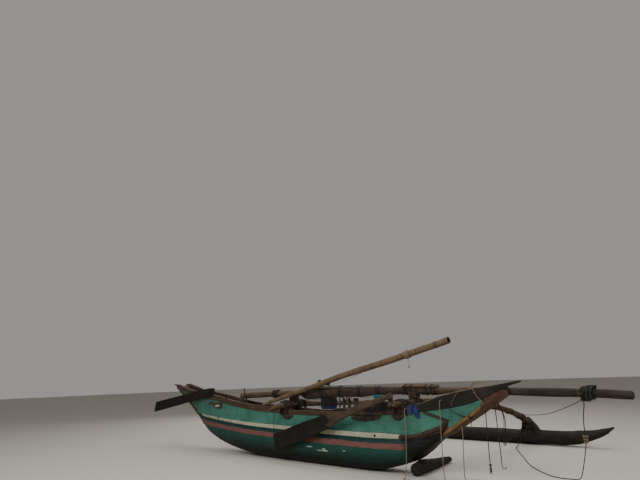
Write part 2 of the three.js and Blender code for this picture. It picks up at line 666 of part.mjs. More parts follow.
// Spare net heaped over the starboard rail: distance along and height above the rail, and the section
// as distance aside and share of that height
const HEAP = [
  { x: 2060, rise: 30 }, { x: 2130, rise: 80 }, { x: 2300, rise: 106 }, { x: 2480, rise: 112 },
  { x: 2600, rise: 90 }, { x: 2660, rise: 36 },
];
const HEAP_SECTION = [
  [-226, 0], [-246, -0.22], [-262, 0.35], [-214, 1], [-152, 1], [-106, 0.5], [-116, -0.12], [-142, 0],
];
const netHeap = skin(HEAP.map(({ x, rise }) => (
  HEAP_SECTION.map(([y, share]) => new THREE.Vector3(x, y, railTop(x) + GAP + rise * share)))));
add('net_heap', netHeap, FINISH.rope);

// Rope bundle wound on the spar's bow end
const BUNDLE_X = 5563;
const BUNDLE_DROP = -4;
const BUNDLE = [
  { away: -97, radius: 64 }, { away: -78, radius: 84 }, { away: -26, radius: 94 },
  { away: 40, radius: 92 }, { away: 82, radius: 78 }, { away: 98, radius: 64 },
];
const bundle = pole(
  BUNDLE.map((b) => onSpar(BUNDLE_X + b.away, BUNDLE_DROP)), BUNDLE.map((b) => b.radius), ROLL_SIDES);
add('rope_bundle', cut(bundle, [spar(GAP)]), FINISH.blueRope);

// Bamboo pole leaning from the starboard rail over the furled sail
const BAMBOO = [
  { x: -760, z: 1020, radius: 34 }, { x: -54, z: 1189, radius: 43 }, { x: 321, z: 1278, radius: 48 },
  { x: 673, z: 1360, radius: 52 }, { x: 1450, z: 1558, radius: 59 }, { x: 2500, z: 1776, radius: 60 },
  { x: 3670, z: 2047, radius: 58 },
];
const BAMBOO_FOOT_Y = -217;
const BAMBOO_SPLAY = 0.069;      // sideways run for each millimetre along the hull
const bamboo = pole(
  BAMBOO.map((p) => new THREE.Vector3(p.x, BAMBOO_FOOT_Y + BAMBOO_SPLAY * (p.x - BAMBOO[0].x), p.z)),
  BAMBOO.map((p) => p.radius), SPAR_SIDES);
add('bamboo_pole', bamboo, FINISH.bamboo);

// Lashing pads hung on the planks under the rails
const PADS = [
  { name: 'aft_pad', x: 45, half: 150, drop: 96, sides: SIDES },
  { name: 'middle_pad', x: 2080, half: 320, drop: 84, sides: SIDES.slice(0, 1) },
  { name: 'fore_pad', x: 2775, half: 120, drop: 92, sides: SIDES },
];
const PAD = { thick: 28, below: 4, endDrop: 0.35, shares: [-1, -0.85, -0.5, 0, 0.5, 0.85, 1] };
PADS.forEach(({ name, x, half, drop, sides }) => sides.forEach((side) => {
  const rings = PAD.shares.map((share) => {
    const px = x + share * half;
    const top = at(SIDE, 'top', px) - PAD.below;
    const low = top - drop * (1 - (1 - PAD.endDrop) * share * share);
    return [[low, -BEDDING], [low, PAD.thick], [top, PAD.thick], [top, -BEDDING]].map(([z, out]) => (
      new THREE.Vector3(px, side.sign * (sideHalf(px, z) + out), z)));
  });
  add(`${name}_${side.name}`, bed(skin(rings), side.sign), FINISH.endWood);
}));

// Cleat block on the starboard planks below the stern rail: a long bar with a deeper block forward
const CLEAT = { proud: 30, top: 1042 };
const CLEAT_PARTS = [{ from: -2830, to: -2567.5, low: 1002 }, { from: -2568, to: -2268, low: 926 }];
const cleatBars = CLEAT_PARTS.map(({ from, to, low }) => skin([from, to].map((x) => (
  [[low, -BEDDING], [low, CLEAT.proud], [CLEAT.top, CLEAT.proud], [CLEAT.top, -BEDDING]]
    .map(([z, out]) => new THREE.Vector3(x, -sideHalf(x, z) - out, z))))));
add('cleat_block_starboard', bed(join(cleatBars), -1), FINISH.oldWood);

// Boards: distance from the pivot towards the tip, width and thickness, with chamfered edges, and
// how much further out the lower edge lies where an end is sawn aslant
const BOARD_CHAMFER = 0.45;
const BORE_LENGTH = 200;
const ROUND_SIDES = 20;

function board(rows, holes) {
  const rings = rows.map(({ away, wide, thick, aslant = 0 }) => {
    const [w, t] = [wide / 2, thick / 2];
    const c = Math.min(t, w) * BOARD_CHAMFER;
    const section = [
      [t - c, w], [t, w - c], [t, c - w], [t - c, -w],
      [c - t, -w], [-t, c - w], [-t, w - c], [c - t, w],
    ];
    return section.map(([y, z]) => new THREE.Vector3(aslant * z - away, y, z));
  });
  const bores = holes.map(({ away, radius }) => {
    const bore = new THREE.CylinderGeometry(radius, radius, BORE_LENGTH, ROUND_SIDES);
    return bore.translate(-away, 0, 0);
  });
  return cut(skin(rings), bores);
}
const PIN_RADIUS = 12;
const PIN_PLAY = 1;

const PIN_BORE = { away: 0, radius: PIN_RADIUS + PIN_PLAY };

const LEEBOARD = {
  pivot: [FORE_BOOM_X - BOOM_RADIUS - GAP, LEEBOARD_Y, 1204],
  tilt: -0.292,
  holes: [PIN_BORE],
  rows: [
    { away: -90, wide: 80, thick: 44 }, { away: 600, wide: 92, thick: 46 },
    { away: 1000, wide: 108, thick: 46 }, { away: 1180, wide: 165, thick: 38 },
    { away: 1500, wide: 250, thick: BOARD_THICK }, { away: 2100, wide: 306, thick: BOARD_THICK },
    { away: 2860, wide: 312, thick: 30 }, { away: 2990, wide: 296, thick: 26 },
  ],
};
const STEERING = {
  pivot: [-3250, STEERING_Y, 1200],
  tilt: -0.141,
  holes: [PIN_BORE, { away: -534, radius: 20 }],
  rows: [
    { away: -750, wide: 124, thick: 28 }, { away: -560, wide: 170, thick: BOARD_THICK },
    { away: 0, wide: 204, thick: BOARD_THICK }, { away: 900, wide: 224, thick: BOARD_THICK },
    { away: 2050, wide: 238, thick: 28, aslant: 0.45 }, { away: 2115, wide: 236, thick: 26, aslant: 0.45 },
  ],
};

function hang(name, { pivot, tilt, rows, holes }) {
  const holder = new THREE.Group();
  holder.position.set(...pivot);
  holder.rotation.y = tilt;
  canoe.add(holder);
  add(name, board(rows, holes), FINISH.boardWood, holder);
}
hang('leeboard', LEEBOARD);
hang('steering_board', STEERING);

// Pivot pins: the leeboard's on a short post over the fore boom's end, the steering board's in the rail
function pin(x, fromY, toY, z) {
  const length = Math.abs(toY - fromY);
  const rod = new THREE.CylinderGeometry(PIN_RADIUS, PIN_RADIUS, length, ROUND_SIDES);
  rod.translate(x, (fromY + toY) / 2, z);
  return rod;
}
const LEE_POST = { half: 27, outer: -425, inner: -365, above: 40, pinFrom: -400, pinBeyond: 48 };
const STEER_PIN_BEYOND = 42;
const [LEE_X, , LEE_Z] = LEEBOARD.pivot;
const leePost = cut(
  join([
    block([LEE_X - LEE_POST.half, LEE_POST.outer, FORE_Z],
      [LEE_X + LEE_POST.half, LEE_POST.inner, LEE_Z + LEE_POST.above]),
    pin(LEE_X, LEE_POST.pinFrom, LEEBOARD_Y - LEE_POST.pinBeyond, LEE_Z),
  ]),
  FORE_POLES.map(({ line, x }) => boomPole(line, x, GAP)),
);
add('leeboard_post', leePost, FINISH.oldWood);
const [STEER_X, , STEER_Z] = STEERING.pivot;
const railFace = -(at(SIDE, 'half', STEER_X) + RAIL.proud + GAP);
add('steering_pin', pin(STEER_X, railFace, STEERING_Y - STEER_PIN_BEYOND, STEER_Z), FINISH.oldWood);

// Driftwood log that chocks the rising keel under the bow: its line on the ground and its radius. It
// is worn to the keel where it carries it.
const CHOCK = [
  { x: 3010, y: -150, radius: 104 }, { x: 2960, y: 60, radius: 112 }, { x: 2830, y: 620, radius: 84 },
  { x: 2670, y: 1290, radius: 50 },
];
const onGround = ({ x, y, radius }) => new THREE.Vector3(x, y, radius * Math.cos(Math.PI / SPAR_SIDES));
const chock = pole(CHOCK.map(onGround), CHOCK.map((c) => c.radius), SPAR_SIDES);
const chockFloor = block([2400, -600, -300], [3400, 1700, 0]);
const keelSeat = skin(DUGOUT.map((s) => dugoutRing(s, 0))).translate(0, 0, -GAP);
add('chock_log', cut(chock, [chockFloor, keelSeat]), FINISH.oldWood);

// Loose ropes, each through its own points; the lowest lie on the floor
const ROPE_RADIUS = 7;
const LAID = ROPE_RADIUS + 0.5;  // height of the middle of a rope that lies on the floor
const ROPE_SIDES = 8;
const ROPE_STEP = { length: 36, most: 80 };
const ROPES = {
  rope_fore_lashing: [
    [2956, -235, 1012], [2956, -250, 1011], [2957, -268, 998], [2960, -280, 970], [2965, -288, 900],
    [2968, -294, 700], [2966, -302, 500], [2960, -312, 300], [2952, -322, 150], [2946, -332, 60],
    [2946, -352, 16], [2958, -392, LAID], [2995, -445, LAID], [3050, -478, LAID], [3120, -485, LAID],
  ],
  rope_bow_horn: [
    [3600, -198.3, 1140], [3600, -214, 1139], [3600, -228, 1126], [3599, -234, 1095], [3596, -237, 1000],
    [3592, -239, 880], [3585, -240, 700], [3577, -237, 500], [3570, -230, 300], [3565, -221, 130],
    [3563, -212, 50], [3571, -200, 14], [3605, -184, LAID], [3665, -172, LAID], [3745, -186, LAID],
  ],
  rope_end_board: [
    [3860.2, -120, 789], [3869, -120, 774.5], [3874, -119, 752], [3874, -116, 710], [3864, -105, 600],
    [3842, -85, 450], [3816, -60, 300], [3792, -36, 150], [3782, -22, 55], [3788, -2, 14],
    [3812, 28, LAID], [3860, 62, LAID], [3930, 84, LAID],
  ],
  rope_bow_tassel: [
    [4230.2, -50, 1007.3], [4238, -50, 994], [4243, -50, 970], [4243, -50, 925], [4240, -50, 780],
    [4236, -50, 600], [4233, -50, 420], [4232, -50, 262],
  ],
  rope_bow_hook: [
    [4360.2, 0, 1089.4], [4368, 0, 1076], [4373, 0, 1052], [4374, 1, 1005], [4376, 3, 850],
    [4379, 5, 640], [4381, 6, 440], [4381, 7, 300],
  ],
  rope_spar_float: [
    [5490, 327.7, 1138], [5489, 329, 1122], [5484, 338, 1068], [5448, 375, 960], [5400, 450, 804],
    [5358, 550, 639], [5316, 630, 510], [5245, 720, 356], [5160, 815, 175], [5105, 870, 75],
    [5050, 915, 20], [4990, 938, LAID], [4900, 925, LAID], [4770, 925, LAID], [4600, 1010, LAID],
    [4440, 1150, LAID], [4080, 1540, LAID], [3800, 1930, LAID], [3500, 2400, LAID], [3100, 3020, LAID],
    [2800, 3520, LAID], [2710, 3760, LAID], [2682, 3880, 16], [2673, 3962, 62], [2670, 4012, 115],
    [2670, 4040, 142], [2670, 4056.6, 143],
  ],
};

function ropeTube(points) {
  const route = new THREE.CatmullRomCurve3(points.map((p) => new THREE.Vector3(...p)), false, 'centripetal');
  const section = new THREE.Shape();
  for (let k = 0; k < ROPE_SIDES; k += 1) {
    const t = (k + 0.5) / ROPE_SIDES * 2 * Math.PI;
    const [x, y] = [ROPE_RADIUS * Math.cos(t), ROPE_RADIUS * Math.sin(t)];
    if (k === 0) section.moveTo(x, y);
    else section.lineTo(x, y);
  }
  const steps = Math.min(Math.round(route.getLength() / ROPE_STEP.length), ROPE_STEP.most);
  return new THREE.ExtrudeGeometry(section, { steps, extrudePath: route, bevelEnabled: false });
}
Object.entries(ROPES).forEach(([name, points]) => add(name, ropeTube(points), FINISH.rope));

export default canoe;
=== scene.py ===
"""Beached outrigger canoe, dressed around its fixed frame: worn timber, paint, lashings, sail and ropes.

Metres. +X to the bow, +Y to the float, +Z up, as in the frame. Sizes and colours are properties of
the scene; each group of pieces is an operator, and the panel lists them.
"""
import json
import math
import random

import bmesh
import bpy
import numpy as np
from bpy.props import FloatProperty, FloatVectorProperty, IntProperty, PointerProperty
from mathutils import Matrix, Vector, geometry, noise
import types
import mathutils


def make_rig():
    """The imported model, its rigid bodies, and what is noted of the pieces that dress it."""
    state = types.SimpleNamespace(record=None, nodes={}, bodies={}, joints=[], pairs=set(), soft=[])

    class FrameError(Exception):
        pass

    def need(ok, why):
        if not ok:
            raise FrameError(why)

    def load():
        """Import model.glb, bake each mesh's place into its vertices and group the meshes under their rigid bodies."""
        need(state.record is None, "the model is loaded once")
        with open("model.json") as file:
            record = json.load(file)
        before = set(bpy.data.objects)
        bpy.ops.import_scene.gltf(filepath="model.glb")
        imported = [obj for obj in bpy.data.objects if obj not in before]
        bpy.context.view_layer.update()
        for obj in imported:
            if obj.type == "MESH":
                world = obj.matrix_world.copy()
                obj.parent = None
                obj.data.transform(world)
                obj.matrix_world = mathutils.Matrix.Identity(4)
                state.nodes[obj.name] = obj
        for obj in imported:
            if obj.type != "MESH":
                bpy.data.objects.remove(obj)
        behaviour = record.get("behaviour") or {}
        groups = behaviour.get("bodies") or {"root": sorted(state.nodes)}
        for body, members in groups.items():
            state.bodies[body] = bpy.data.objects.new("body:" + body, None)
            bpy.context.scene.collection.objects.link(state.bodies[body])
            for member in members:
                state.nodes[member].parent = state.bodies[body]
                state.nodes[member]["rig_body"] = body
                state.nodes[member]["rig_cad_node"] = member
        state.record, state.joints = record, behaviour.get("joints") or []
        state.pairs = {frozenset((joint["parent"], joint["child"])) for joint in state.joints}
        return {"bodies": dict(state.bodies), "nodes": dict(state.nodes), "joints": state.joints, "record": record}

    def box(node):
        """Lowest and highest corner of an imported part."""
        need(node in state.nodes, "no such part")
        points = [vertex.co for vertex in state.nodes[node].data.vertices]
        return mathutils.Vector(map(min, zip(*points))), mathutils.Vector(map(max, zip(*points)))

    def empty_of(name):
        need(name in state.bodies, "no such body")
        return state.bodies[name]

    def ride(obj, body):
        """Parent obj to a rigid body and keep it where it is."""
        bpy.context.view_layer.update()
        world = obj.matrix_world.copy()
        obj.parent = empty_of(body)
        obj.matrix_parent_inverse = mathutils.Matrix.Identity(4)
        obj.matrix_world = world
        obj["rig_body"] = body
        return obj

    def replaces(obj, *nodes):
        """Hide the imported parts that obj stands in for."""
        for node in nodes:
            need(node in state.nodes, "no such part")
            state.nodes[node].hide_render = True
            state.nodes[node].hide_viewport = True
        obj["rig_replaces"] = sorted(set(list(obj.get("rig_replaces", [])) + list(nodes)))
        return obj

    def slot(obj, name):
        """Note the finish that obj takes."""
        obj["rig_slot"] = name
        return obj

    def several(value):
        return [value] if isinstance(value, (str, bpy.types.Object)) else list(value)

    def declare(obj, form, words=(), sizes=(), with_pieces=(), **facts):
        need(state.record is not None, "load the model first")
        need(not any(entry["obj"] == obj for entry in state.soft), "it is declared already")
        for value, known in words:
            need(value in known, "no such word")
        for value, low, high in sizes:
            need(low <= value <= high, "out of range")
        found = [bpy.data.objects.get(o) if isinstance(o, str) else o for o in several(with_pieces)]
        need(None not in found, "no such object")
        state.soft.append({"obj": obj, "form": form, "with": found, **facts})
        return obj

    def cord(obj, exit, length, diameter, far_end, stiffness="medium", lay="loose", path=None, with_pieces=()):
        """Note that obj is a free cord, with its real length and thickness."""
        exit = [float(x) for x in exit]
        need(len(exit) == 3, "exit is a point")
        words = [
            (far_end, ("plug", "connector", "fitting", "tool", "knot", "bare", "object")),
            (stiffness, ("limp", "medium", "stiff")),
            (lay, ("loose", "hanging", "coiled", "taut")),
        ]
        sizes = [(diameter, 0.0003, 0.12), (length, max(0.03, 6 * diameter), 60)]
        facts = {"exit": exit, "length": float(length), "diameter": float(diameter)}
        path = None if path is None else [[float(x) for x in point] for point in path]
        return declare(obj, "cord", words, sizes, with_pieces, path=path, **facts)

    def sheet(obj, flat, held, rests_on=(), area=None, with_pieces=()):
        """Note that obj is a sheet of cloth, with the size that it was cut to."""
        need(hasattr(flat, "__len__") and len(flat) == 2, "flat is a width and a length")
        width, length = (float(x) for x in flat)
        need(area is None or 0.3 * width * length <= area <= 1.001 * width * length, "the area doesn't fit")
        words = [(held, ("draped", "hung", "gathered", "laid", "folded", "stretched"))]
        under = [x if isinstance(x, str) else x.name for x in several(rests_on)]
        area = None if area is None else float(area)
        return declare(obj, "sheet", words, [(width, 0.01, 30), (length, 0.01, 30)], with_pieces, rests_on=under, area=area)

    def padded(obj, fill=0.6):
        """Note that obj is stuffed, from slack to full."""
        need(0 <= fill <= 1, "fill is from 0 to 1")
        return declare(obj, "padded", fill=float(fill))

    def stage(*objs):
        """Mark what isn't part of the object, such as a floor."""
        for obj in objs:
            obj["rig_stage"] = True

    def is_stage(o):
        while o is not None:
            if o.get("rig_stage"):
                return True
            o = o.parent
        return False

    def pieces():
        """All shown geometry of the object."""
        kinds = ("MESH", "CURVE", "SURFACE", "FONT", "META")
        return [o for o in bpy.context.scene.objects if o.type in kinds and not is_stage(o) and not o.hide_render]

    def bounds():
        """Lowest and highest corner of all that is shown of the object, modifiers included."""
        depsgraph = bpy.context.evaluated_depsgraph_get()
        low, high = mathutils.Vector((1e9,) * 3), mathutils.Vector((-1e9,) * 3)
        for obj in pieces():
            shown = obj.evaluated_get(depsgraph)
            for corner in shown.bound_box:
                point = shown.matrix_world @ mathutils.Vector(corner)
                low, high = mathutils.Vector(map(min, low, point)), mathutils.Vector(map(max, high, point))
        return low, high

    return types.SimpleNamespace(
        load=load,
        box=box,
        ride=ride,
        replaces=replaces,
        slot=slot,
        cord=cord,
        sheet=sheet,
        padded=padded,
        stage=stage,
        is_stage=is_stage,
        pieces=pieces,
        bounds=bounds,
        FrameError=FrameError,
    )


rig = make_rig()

bl_info = {
    "name": "Outrigger canoe",
    "version": (1, 0, 0),
    "blender": (4, 5, 0),
    "location": "View3D > Sidebar > Canoe",
    "description": "Dresses the frame of a beached outrigger canoe with timber, paint, lashings and sail",
    "category": "Object",
}

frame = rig.load()
CAD_LOW, CAD_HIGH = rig.bounds()
NODES = frame["nodes"]


def linear(code):
    """Linear red, green and blue of an sRGB hex code."""
    parts = [int(code[i:i + 2], 16) / 255 for i in (1, 3, 5)]
    return [p / 12.92 if p <= 0.04045 else ((p + 0.055) / 1.055) ** 2.4 for p in parts]


def colour_setting(name, description, code):
    """A colour property whose default is an sRGB hex code."""
    return FloatVectorProperty(
        name=name, description=description, default=linear(code), subtype="COLOR", min=0, max=1)


# Settings


class CanoeStageSettings(bpy.types.PropertyGroup):
    """The camera's place and turn, the floor and the light"""

    eye: FloatVectorProperty(
        name="Camera place", description="Where the camera stands", subtype="TRANSLATION",
        unit="LENGTH", default=(8.410, -7.295, 1.578))
    yaw: FloatProperty(
        name="Yaw", description="Turn of the view from +Y towards +X", subtype="ANGLE", default=-0.800)
    pitch: FloatProperty(
        name="Pitch", description="Tilt of the view above level", subtype="ANGLE", default=0.249)
    roll: FloatProperty(
        name="Roll", description="Lean of the horizon", subtype="ANGLE", default=-0.036)
    lens: FloatProperty(name="Lens", description="Focal length on a 36 mm sensor", default=29.81)
    floor_radius: FloatProperty(
        name="Floor radius", description="How far the floor reaches", unit="LENGTH", default=70.0)
    floor_colour: colour_setting("Floor", "Pale floor", "#b3ada4")
    sky_colour: colour_setting("Surround", "Light from all round", "#c9c6c4")
    sky_power: FloatProperty(name="Surround power", description="Strength of it", default=0.55)
    key_power: FloatProperty(name="Key power", description="Power of the main light in watts", default=900.0)


class CanoeColours(bpy.types.PropertyGroup):
    """Colours of paint, rope, cloth and net"""

    topside: colour_setting("Topside paint", "Weathered turquoise", "#3f7465")
    topside_under: colour_setting("Bare plank", "Wood where the paint has gone", "#4a3d30")
    bottom_line: colour_setting("Line under the seam", "Dark teal", "#123431")
    bottom_band: colour_setting("Band", "Dull pink red", "#6b453f")
    bottom_green: colour_setting("Bottom paint", "Dark green", "#154138")
    bottom_black: colour_setting("Keel", "Tar and wet dirt", "#080c0a")
    batten: colour_setting("Rubbing batten", "Chalky off-white", "#a5a08a")
    rope_pale: colour_setting("Dry rope", "Sun-bleached fibre", "#736953")
    rope_dark: colour_setting("Tarred rope", "Old dark fibre", "#2b2821")
    rope_teal: colour_setting("Teal rope", "Faded synthetic", "#121b18")
    rag_blue: colour_setting("Blue rag", "Blue violet cloth", "#1f2a57")
    rope_teal_bright: colour_setting("New teal rope", "A brighter synthetic", "#1b5b66")
    canvas: colour_setting("Sail", "Dark tanned cotton", "#362a20")
    net: colour_setting("Net", "Near-black netting", "#1d1a19")


class CanoeSizes(bpy.types.PropertyGroup):
    """Thicknesses, numbers of turns and pitches"""

    rope: FloatProperty(
        name="Lashing rope", description="Diameter", unit="LENGTH", default=0.014)
    twine: FloatProperty(name="Twine", description="Diameter", unit="LENGTH", default=0.007)
    lashing_turns: IntProperty(
        name="Lashing turns", description="Turns on each side of a crossing", default=5, min=2, max=8)
    sail_turns: FloatProperty(
        name="Sail turns", description="Times the sail is rolled round the spar", default=3.3)
    nail_pitch: FloatProperty(
        name="Nail pitch", description="Distance between nails", unit="LENGTH", default=0.31)
    culm_pitch: FloatProperty(
        name="Culm pitch", description="Distance between bamboo nodes", unit="LENGTH", default=0.37)


# Reading the frame


def node_arrays(name):
    """Corner places and edges of a frame node, as arrays."""
    mesh = NODES[name].data
    places = np.empty(len(mesh.vertices) * 3)
    mesh.vertices.foreach_get("co", places)
    edges = np.empty(len(mesh.edges) * 2, dtype=int)
    mesh.edges.foreach_get("vertices", edges)
    return places.reshape(-1, 3), edges.reshape(-1, 2)


def cut_points(name, axis, value):
    """Points where a plane square to an axis cuts the edges of a node."""
    places, edges = node_arrays(name)
    a, b = places[edges[:, 0]], places[edges[:, 1]]
    da, db = a[:, axis] - value, b[:, axis] - value
    hit = (da * db <= 0) & (np.abs(da - db) > 1e-9)
    share = (da[hit] / (da[hit] - db[hit]))[:, None]
    points = a[hit] + (b[hit] - a[hit]) * share
    if len(points) == 0:
        raise RuntimeError(f"{name} has no cut at {value} on axis {axis}")
    return points


def cut_box(name, axis, value):
    """Lowest and highest corner of the cut through a node, square to an axis."""
    points = cut_points(name, axis, value)
    return points.min(axis=0), points.max(axis=0)


def snug_loop(names, axis, value, gap):
    """A closed line drawn tight round the cuts through some nodes, square to an axis."""
    points = np.vstack([cut_points(name, axis, value) for name in names])
    across = [i for i in range(3) if i != axis]
    flat = [Vector(p) for p in points[:, across]]
    rim = np.array([flat[i] for i in geometry.convex_hull_2d(flat)])
    centre = (rim.min(axis=0) + rim.max(axis=0)) / 2
    reach = np.linalg.norm(rim - centre, axis=1)
    loop = np.full((len(rim), 3), float(value))
    loop[:, across] = centre + (rim - centre) * (1 + gap / reach)[:, None]
    return loop


def middle(name, axis, value):
    """Middle of the cut through a node, square to an axis."""
    low, high = cut_box(name, axis, value)
    return (low + high) / 2


def starboard_face(name, x, z, out):
    """A point just off the starboard face of a node."""
    return (x, cut_box(name, 0, x)[0][1] - out, z)


def middle_line(name, axis, first, last, count):
    """Middles of a node's cuts, evenly spaced along an axis."""
    return np.array([middle(name, axis, v) for v in np.linspace(first, last, count)])


# Making meshes


def new_mesh_object(name, verts, faces):
    mesh = bpy.data.meshes.new(name)
    mesh.from_pydata([tuple(v) for v in verts], [], faces)
    mesh.update()
    obj = bpy.data.objects.new(name, mesh)
    bpy.context.scene.collection.objects.link(obj)
    return obj


def grid_faces(rows, columns, closed=False):
    """Faces between rows of corners. closed joins the end of each row to its start."""
    faces = []
    for row in range(rows - 1):
        low, high = row * columns, (row + 1) * columns
        for k in range(columns if closed else columns - 1):
            following = (k + 1) % columns
            faces.append((low + k, low + following, high + following, high + k))
    return faces


def capped_faces(rows, sides):
    """Faces of a closed wall of rings, with a cap on its first and last ring."""
    last = (rows - 1) * sides
    caps = [tuple(reversed(range(sides))), tuple(last + k for k in range(sides))]
    return grid_faces(rows, sides, closed=True) + caps


def ring(centre, first, second, count):
    """Points of a closed ellipse round a centre, from its two half axes."""
    return [centre + first * math.cos(a) + second * math.sin(a)
            for a in np.linspace(0, 2 * math.pi, count, endpoint=False)]


def smooth(mesh, angle=40):
    """Shade a mesh smooth apart from edges sharper than an angle in degrees."""
    mesh.shade_smooth()
    mesh.set_sharp_from_angle(angle=math.radians(angle))


def set_grain(mesh, values):
    """Store how far along and across the grain each corner lies, in metres."""
    layer = mesh.attributes.get("grain") or mesh.attributes.new("grain", "FLOAT_VECTOR", "POINT")
    layer.data.foreach_set("vector", np.asarray(values, dtype=np.float32).ravel())


def set_share(mesh, name, values):
    """Store one number for each corner under a name that a finish reads."""
    layer = mesh.attributes.new(name, "FLOAT", "POINT")
    layer.data.foreach_set("value", np.asarray(values, dtype=np.float32))


def mesh_places(mesh):
    places = np.empty(len(mesh.vertices) * 3)
    mesh.vertices.foreach_get("co", places)
    return places.reshape(-1, 3)


def grain_from_line(places, line):
    """Along and across a line of points: distance run, then sideways and upward offset."""
    line = np.asarray(line, dtype=float)
    best = np.full(len(places), 1e9)
    out = np.zeros((len(places), 3))
    run = 0.0
    for a, b in zip(line[:-1], line[1:]):
        way = b - a
        length = np.linalg.norm(way)
        way = way / length
        side = np.cross(way, (0.0, 0.0, 1.0))
        side = side / max(np.linalg.norm(side), 1e-6)
        over = np.cross(side, way)
        share = (places - a) @ way
        held = np.clip(share, 0, length)
        gap = np.linalg.norm(places - (a + held[:, None] * way), axis=1)
        near = gap < best - 1e-9
        best[near] = gap[near]
        offset = places - a
        out[near] = np.stack([run + share, offset @ side, offset @ over], axis=1)[near]
        run += length
    return out


def ends_line(places):
    """Two ends of the longest direction through a set of points."""
    centre = places.mean(axis=0)
    spread = np.linalg.svd(places - centre, full_matrices=False)[2][0]
    reach = (places - centre) @ spread
    return [centre + spread * reach.min(), centre + spread * reach.max()]


def carved(places, normals, amount, scale, stretch, grain, seed=0.0):
    """Places moved along their normals by a noise drawn out along the grain."""
    moved = places.copy()
    for i, (g, n) in enumerate(zip(grain, normals)):
        point = Vector((g[0] / stretch * scale + seed, g[1] * scale + seed, g[2] * scale))
        moved[i] += n * noise.fractal(point, 0.6, 2.0, 3) * amount
    return moved


WORN_CREASE = math.radians(50)   # a sharper edge than this is held nearly sharp
CREASE_WEIGHT = 0.85
EASED_EDGE = math.radians(25)    # a sharper edge than this is eased on a flat-faced piece
ONE_CORNER = 0.0002              # corners nearer to each other than this are one
THIN_FACE = 0.0003               # narrower faces than this are dropped


def worn_copy(node, finish, slot, body="canoe", soft=True, levels=2, uneven=0.003, scale=9.0,
              stretch=7.0, bevel=0.004, line=None, swell=0.0, name=None):
    """A finer, hand-worked copy of a frame node that stands for it.

    soft rounds the form between its stations; otherwise the faces stay flat and the edges are eased.
    """
    source = NODES[node].data
    work = bmesh.new()
    corners = [work.verts.new(v.co) for v in source.vertices]
    for face in source.polygons:
        try:
            work.faces.new([corners[i] for i in face.vertices])
        except ValueError:
            continue
    bmesh.ops.remove_doubles(work, verts=work.verts, dist=ONE_CORNER)
    bmesh.ops.dissolve_degenerate(work, edges=work.edges, dist=THIN_FACE)
    bmesh.ops.recalc_face_normals(work, faces=work.faces)
    if soft:
        bmesh.ops.join_triangles(
            work, faces=work.faces, angle_face_threshold=0.5, angle_shape_threshold=1.3)
    else:
        bmesh.ops.dissolve_limit(
            work, angle_limit=math.radians(1.0), verts=work.verts, edges=work.edges)
    crease = work.edges.layers.float.new("crease_edge")
    for edge in work.edges:
        if len(edge.link_faces) == 2 and edge.calc_face_angle() > WORN_CREASE:
            edge[crease] = CREASE_WEIGHT
    mesh = bpy.data.meshes.new(name or f"worn_{node}")
    work.to_mesh(mesh)
    work.free()
    obj = bpy.data.objects.new(name or f"worn_{node}", mesh)
    bpy.context.scene.collection.objects.link(obj)
    if not soft:
        ease = obj.modifiers.new("Eased edges", "BEVEL")
        ease.width, ease.segments = bevel, 2
        ease.limit_method, ease.angle_limit = "ANGLE", EASED_EDGE
        obj.modifiers.new("Faces", "TRIANGULATE")
    finer = obj.modifiers.new("Finer", "SUBSURF")
    finer.subdivision_type = "CATMULL_CLARK" if soft else "SIMPLE"
    finer.levels = finer.render_levels = levels
    evaluated = obj.evaluated_get(bpy.context.evaluated_depsgraph_get())
    fine = bpy.data.meshes.new_from_object(evaluated)
    obj.modifiers.clear()
    obj.data = fine
    bpy.data.meshes.remove(mesh)
    fine.name = obj.name
    places = mesh_places(fine)
    normals = np.array([v.normal for v in fine.vertices])
    grain = grain_from_line(places, line if line is not None else ends_line(places))
    places = places + normals * swell
    places = carved(places, normals, uneven, scale, stretch, grain, seed=len(node) * 1.7)
    places[:, 2] = np.maximum(places[:, 2], 0.0)
    fine.vertices.foreach_set("co", places.ravel())
    fine.update()
    set_grain(fine, grain)
    smooth(fine)
    dress(obj, finish, slot, body)
    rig.replaces(obj, node)
    return obj


def dress(obj, finish, slot, body="canoe"):
    """Give a piece its finish and the body it rides on."""
    obj.data.materials.clear()
    obj.data.materials.append(FINISHES[finish])
    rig.slot(obj, slot)
    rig.ride(obj, body)
    return obj


# Ropes and other long round things


def carried_frames(path, closed=False):
    """Tangents of a path and two directions across it, carried along without twist."""
    if closed:
        ahead, behind = np.roll(path, -1, axis=0), np.roll(path, 1, axis=0)
    else:
        ahead = np.vstack([path[1:], path[-1:]])
        behind = np.vstack([path[:1], path[:-1]])
    ways = ahead - behind
    ways /= np.maximum(np.linalg.norm(ways, axis=1), 1e-9)[:, None]
    across = np.zeros_like(path)
    guess = np.cross(ways[0], (0.3, 0.2, 1.0))
    for i, way in enumerate(ways):
        guess = guess - way * (guess @ way)
        guess = guess / max(np.linalg.norm(guess), 1e-9)
        across[i] = guess
    return ways, across, np.cross(ways, across)


